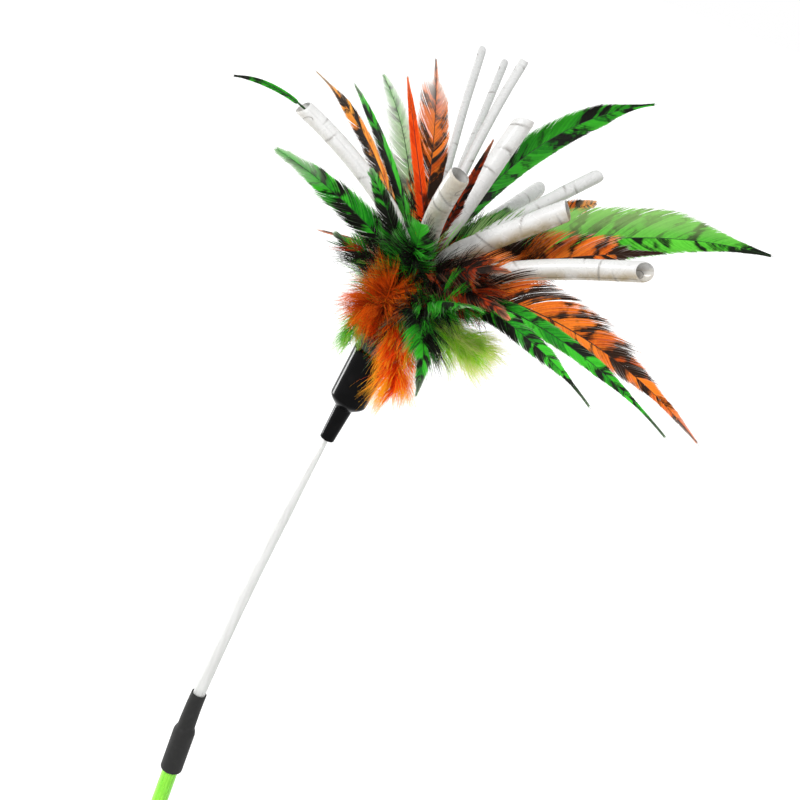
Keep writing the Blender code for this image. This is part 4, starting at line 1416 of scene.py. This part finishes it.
def makeTube(name, line, rng):
    look = {**plainTube, **tubeLooks[name]}
    length = line["length"]
    diameter = film["diameter"] * tubeRows[name][-1]
    foot = bundle["quillFoot"] - bundle["flareHeights"][tubeRows[name][0]]
    creases = [crease + rng.uniform(-film["creaseShift"], film["creaseShift"]) for crease in film["creases"]]
    rows = sheetRows(length, foot, creases)
    mesh = bmesh.new()
    bmesh.ops.create_grid(mesh, x_segments=film["around"], y_segments=len(rows) - 1, size=0.5)
    sheet = np.array([tuple(vert.co) for vert in mesh.verts]) + 0.5
    around = sheet[:, 0]
    distance = rows[np.round(sheet[:, 1] * (len(rows) - 1)).astype(int)]
    share = np.clip(distance / length, 0.0, 1.0)
    body = np.interp(share, film["pinchShares"], film["pinchWidths"])
    angle = rng.uniform(0, math.tau) + around * math.tau * film["turns"]
    radius = rollRadius(body, around, angle, distance, diameter, rng)
    places = [crease * length for crease in creases]
    radius, grooveShade = pressCreases(radius, body, angle, distance, places, rng)
    radius = radius * (1 - film["lipCurl"] * np.clip(1 - (length - distance) / film["lip"], 0.0, 1.0) ** 2)
    slant = look["slant"] * diameter * (1 - np.cos(angle - rng.uniform(0, math.tau))) / 2
    slant = slant * np.clip((share - film["slantStart"]) / (1 - film["slantStart"]), 0, 1)
    points = onLine(line, distance - slant, radius * np.cos(angle), radius * np.sin(angle))
    centres = onLine(line, distance - slant, 0.0 * angle, 0.0 * angle)
    for vert, point in zip(mesh.verts, points):
        vert.co = point
    data = bpy.data.meshes.new("sheet")
    mesh.to_mesh(data)
    mesh.free()
    # How far each point lies below the centre line sets its painted warm bounce
    below = (centres - points)[:, 2] / radius + film["underLift"]
    below = np.clip(below * film["underGain"], 0.0, 1.0)
    facing = np.arctan2(np.sin(angle - film["foldTurn"]), np.cos(angle - film["foldTurn"]))
    setAttribute(data, "underBounce", below * look["warmBounce"])
    setAttribute(data, "far", np.full_like(below, look["far"]))
    # Groove mask that carries the painted crease shade
    setAttribute(data, "crease", grooveShade)
    setAttribute(data, "foldAcross", facing * radius * millimetres)
    setAttribute(data, "foldBack", (length - distance) * millimetres - film["foldPlace"])
    setAttribute(data, "inside", np.clip(around * film["turns"] - 1.0, 0.0, 0.2) * 5)
    mesh = bmesh.new()
    mesh.from_mesh(data)
    bpy.data.meshes.remove(data)
    bmesh.ops.recalc_face_normals(mesh, faces=mesh.faces)
    bmesh.ops.solidify(mesh, geom=mesh.faces[:], thickness=film["thickness"])
    bmesh.ops.recalc_face_normals(mesh, faces=mesh.faces)
    made = finishPiece(name + "_film", mesh, [filmSheet()], smoothAngle=50.0)
    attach(made, "head")
    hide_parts(name)


for number, tubeName in enumerate(tubeRows):
    makeTube(tubeName, tubeLine(tubeName), np.random.default_rng(seeds["tubes"] + number))
print("film tubes made")


# The thin feather stands in the left tube and curls away past its end
threaded = {
    "tube": "tube_left",
    "foot": 0.46,
    "length": 0.032,
    "width": 0.0030,
    "droop": 34.0,
    "roll": 60.0,
    "steps": 24,
    "quillShare": 0.4,
    "paint": ("green", 0.030, 0.20),
}


def makeThreadedFeather():
    tube = tubeLine(threaded["tube"])
    inside = tube["length"] * (1 - threaded["foot"])
    along = Vector(tube["along"][-1])
    sideways = Vector(tube["across"][-1])
    down = Vector((0.0, 0.0, -1.0))
    axis = along.cross(down).normalized()
    place = Vector(tube["places"][-1])
    places, directions = [], []
    for index in range(threaded["steps"] + 1):
        share = index / threaded["steps"]
        bent = Matrix.Rotation(math.radians(threaded["droop"]) * share, 3, axis) @ along
        if index:
            place = place + bent * threaded["length"] / threaded["steps"]
        places.append(tuple(place))
        directions.append(tuple(bent))
    sides = np.array([tuple(sideways)] * len(places))
    line = lineOf(np.array(places), np.array(directions), sides, threaded["roll"], threaded["length"])
    rng = np.random.default_rng(seeds["threaded"])
    foot = -inside * threaded["quillShare"]
    makeFeather("feather_green_thin", line, threaded["width"], threaded["paint"], rng, foot)


makeThreadedFeather()
print("threaded feather made")


# Fluff: each tuft is a short quill with locks of long soft strands, which run together towards their ends
fluffShape = {
    "length": 0.052,
    "strands": 22,
    "stations": 5,
    "halfWidth": 0.00017,
    "thickness": 0.00004,
    "lockLength": 0.0165,
    "rootSpread": 0.0026,
    "tipSpread": 0.0011,
    "startAngles": (88.0, 44.0),
    "endAngles": (50.0, 6.0),
    "fan": 0.12,
    "wave": 0.0007,
    "sag": 0.0030,
    "stray": 0.14,
    "quillRadii": (0.0004, 0.0001),
    "quillRings": 24,
    "cloudScale": 130.0,
    "cloudShare": 0.6,
    "toneShare": 0.85,
    "colorEdges": (0.10, 0.60),
    "endsEdges": (0.62, 1.10),
    "roughness": (0.66, 0.84),
    "sheen": 0.02,
    "specular": 0.06,
}


@cache
def fluffDown(name):
    dye = dyes[name]
    made, tree, shader = newMaterial("down_" + name)
    cloud = noise(objectPlace(tree), fluffShape["cloudScale"], 3.0)
    # Low shares take the deep colour: the dye's dark roots and painted shade between the locks, with each
    # lock's painted light and shade added
    share = plus(attribute(tree, "reach"), times(minus(cloud, 0.5), fluffShape["cloudShare"]))
    share = plus(share, times(minus(attribute(tree, "toneAndShade"), 0.5), fluffShape["toneShare"]))
    color = shades(share, *fluffShape["colorEdges"], dye["deepShade"], dye["bright"])
    setInputs(shader, {
        "Base Color": shades(share, *fluffShape["endsEdges"], color, dye["ends"]),
        "Roughness": roughen(cloud, fluffShape["roughness"]),
        "Sheen Weight": fluffShape["sheen"],
        "Specular IOR Level": fluffShape["specular"],
    })
    return made


def makeFluff(name, row, rng):
    turn, lean, lengthShare, dye, rootShare, strandShare, shift, locks = row
    length = fluffShape["length"] * lengthShare
    line = freeLine(name, "rim", turn + shift, lean, 0.0, 0.0, 0.0, length, bundle["fluffFlare"])
    foot = bundle["quillFoot"] - bundle["flareHeights"]["rim"]
    quill = shaftMesh(line, foot, rootShare * length, *fluffShape["quillRadii"], fluffShape["quillRings"])
    materials = [fluffDown(dye), shaftHorn(dye)]
    look = {"roots": (0.0, rootShare * length), "locks": locks}
    look["lockLength"] = fluffShape["lockLength"] * strandShare
    strands = tuftStrands(line, {**fluffShape, **look}, rng)
    made = strandPiece(name + "_down", strands, fluffShape["stations"], quill, materials)
    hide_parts(name)


for number, (fluffName, fluffRow) in enumerate(fluffRows.items()):
    makeFluff(fluffName, fluffRow, np.random.default_rng(seeds["fluff"] + number))
print("fluff made")


# Glue and thread keep their solids and get their finish here
bundleFinish = {
    "glue": (0.62, 0.56, 0.40),
    "clearGlue": (0.82, 0.78, 0.64),
    "glueRoughness": (0.18, 0.35),
    "glueScale": 240.0,
    "glueBump": (0.2, 0.0005),
    "thread": (0.010, 0.010, 0.010),
    "wornThread": (0.050, 0.050, 0.052),
    "threadRoughness": 0.7,
    "wrapScale": 450.0,
    "wrapDistortion": 1.2,
    "wrapBump": (0.6, 0.0002),
}


def glueFinish():
    made, tree, shader = newMaterial("clearGlue")
    cloud = noise(objectPlace(tree), bundleFinish["glueScale"], 3.0)
    setInputs(shader, {
        "Base Color": blendColors(cloud, bundleFinish["glue"], bundleFinish["clearGlue"]),
        "Roughness": roughen(cloud, bundleFinish["glueRoughness"]),
        "Normal": bump(cloud, *bundleFinish["glueBump"]),
    })
    return made


def threadFinish():
    made, tree, shader = newMaterial("boundThread")
    values = {"Vector": objectPlace(tree), "Scale": bundleFinish["wrapScale"]}
    values["Distortion"] = bundleFinish["wrapDistortion"]
    wraps = addNode(tree, "ShaderNodeTexWave", values, bands_direction="Z").outputs["Fac"]
    setInputs(shader, {
        "Base Color": blendColors(wraps, bundleFinish["thread"], bundleFinish["wornThread"]),
        "Roughness": bundleFinish["threadRoughness"],
        "Normal": bump(wraps, *bundleFinish["wrapBump"]),
    })
    return made


for nodeName, made in (("glue_plug", glueFinish()), ("binding_thread", threadFinish())):
    cadNodes[nodeName].data.materials.clear()
    cadNodes[nodeName].data.materials.append(made)


# Studio: a white floor and world, two soft suns and a strip of light for the gloss
studio = {
    "white": (1.0, 1.0, 1.0),
    "floorSize": 60.0,
    "floorColor": (0.86, 0.86, 0.86),
    "floorRoughness": 0.9,
    "floorLift": 0.30,
    "worldLight": 0.55,
    "key": {"strength": 2.1, "angle": 20.0, "turn": (48.0, 0.0, -38.0)},
    "fill": {"strength": 0.45, "angle": 60.0, "turn": (62.0, 0.0, 62.0)},
    "strip": {"place": (-0.66, 0.366, 0.343), "aim": (0.035, 0.0, 0.49), "size": 0.20, "power": 3.4},
}


def cameraSees(tree):
    rays = addNode(tree, "ShaderNodeLightPath")
    seen = combine("MAXIMUM", rays.outputs["Is Camera Ray"], rays.outputs["Is Glossy Ray"])
    return combine("MAXIMUM", seen, rays.outputs["Is Transmission Ray"])


def makeFloor():
    mesh = bmesh.new()
    bmesh.ops.create_grid(mesh, x_segments=2, y_segments=2, size=studio["floorSize"] / 2)
    made, tree, shader = newMaterial("paleFloor")
    setInputs(shader, {
        "Base Color": studio["floorColor"],
        "Roughness": studio["floorRoughness"],
        "Specular IOR Level": 0.0,
        "Emission Color": studio["white"],
        "Emission Strength": times(cameraSees(tree), studio["floorLift"]),
    })
    finishPiece("floor", mesh, [made])


def makeWorld():
    world = bpy.data.worlds.new("studioWorld")
    world.use_nodes = True
    tree = world.node_tree
    strength = remap(cameraSees(tree), 0.0, 1.0, studio["worldLight"], 1.0, smooth=False)
    setInputs(tree.nodes["Background"], {"Color": studio["white"], "Strength": strength})
    bpy.context.scene.world = world


def addLight(name, kind, power):
    data = bpy.data.lights.new(name, kind)
    data.energy = power
    return addObject(name, data)


def makeLights():
    for name in ("key", "fill"):
        sun = addLight(name, "SUN", studio[name]["strength"])
        sun.data.angle = math.radians(studio[name]["angle"])
        sun.rotation_euler = [math.radians(turn) for turn in studio[name]["turn"]]
    strip = addLight("strip", "AREA", studio["strip"]["power"])
    strip.data.size = studio["strip"]["size"]
    strip.location = studio["strip"]["place"]
    aim = Vector(studio["strip"]["aim"]) - strip.location
    strip.rotation_euler = aim.to_track_quat("-Z", "Y").to_euler()
    strip.visible_camera = False


makeFloor()
makeWorld()
makeLights()
bpy.context.scene.view_settings.view_transform = "Standard"
print("studio made")
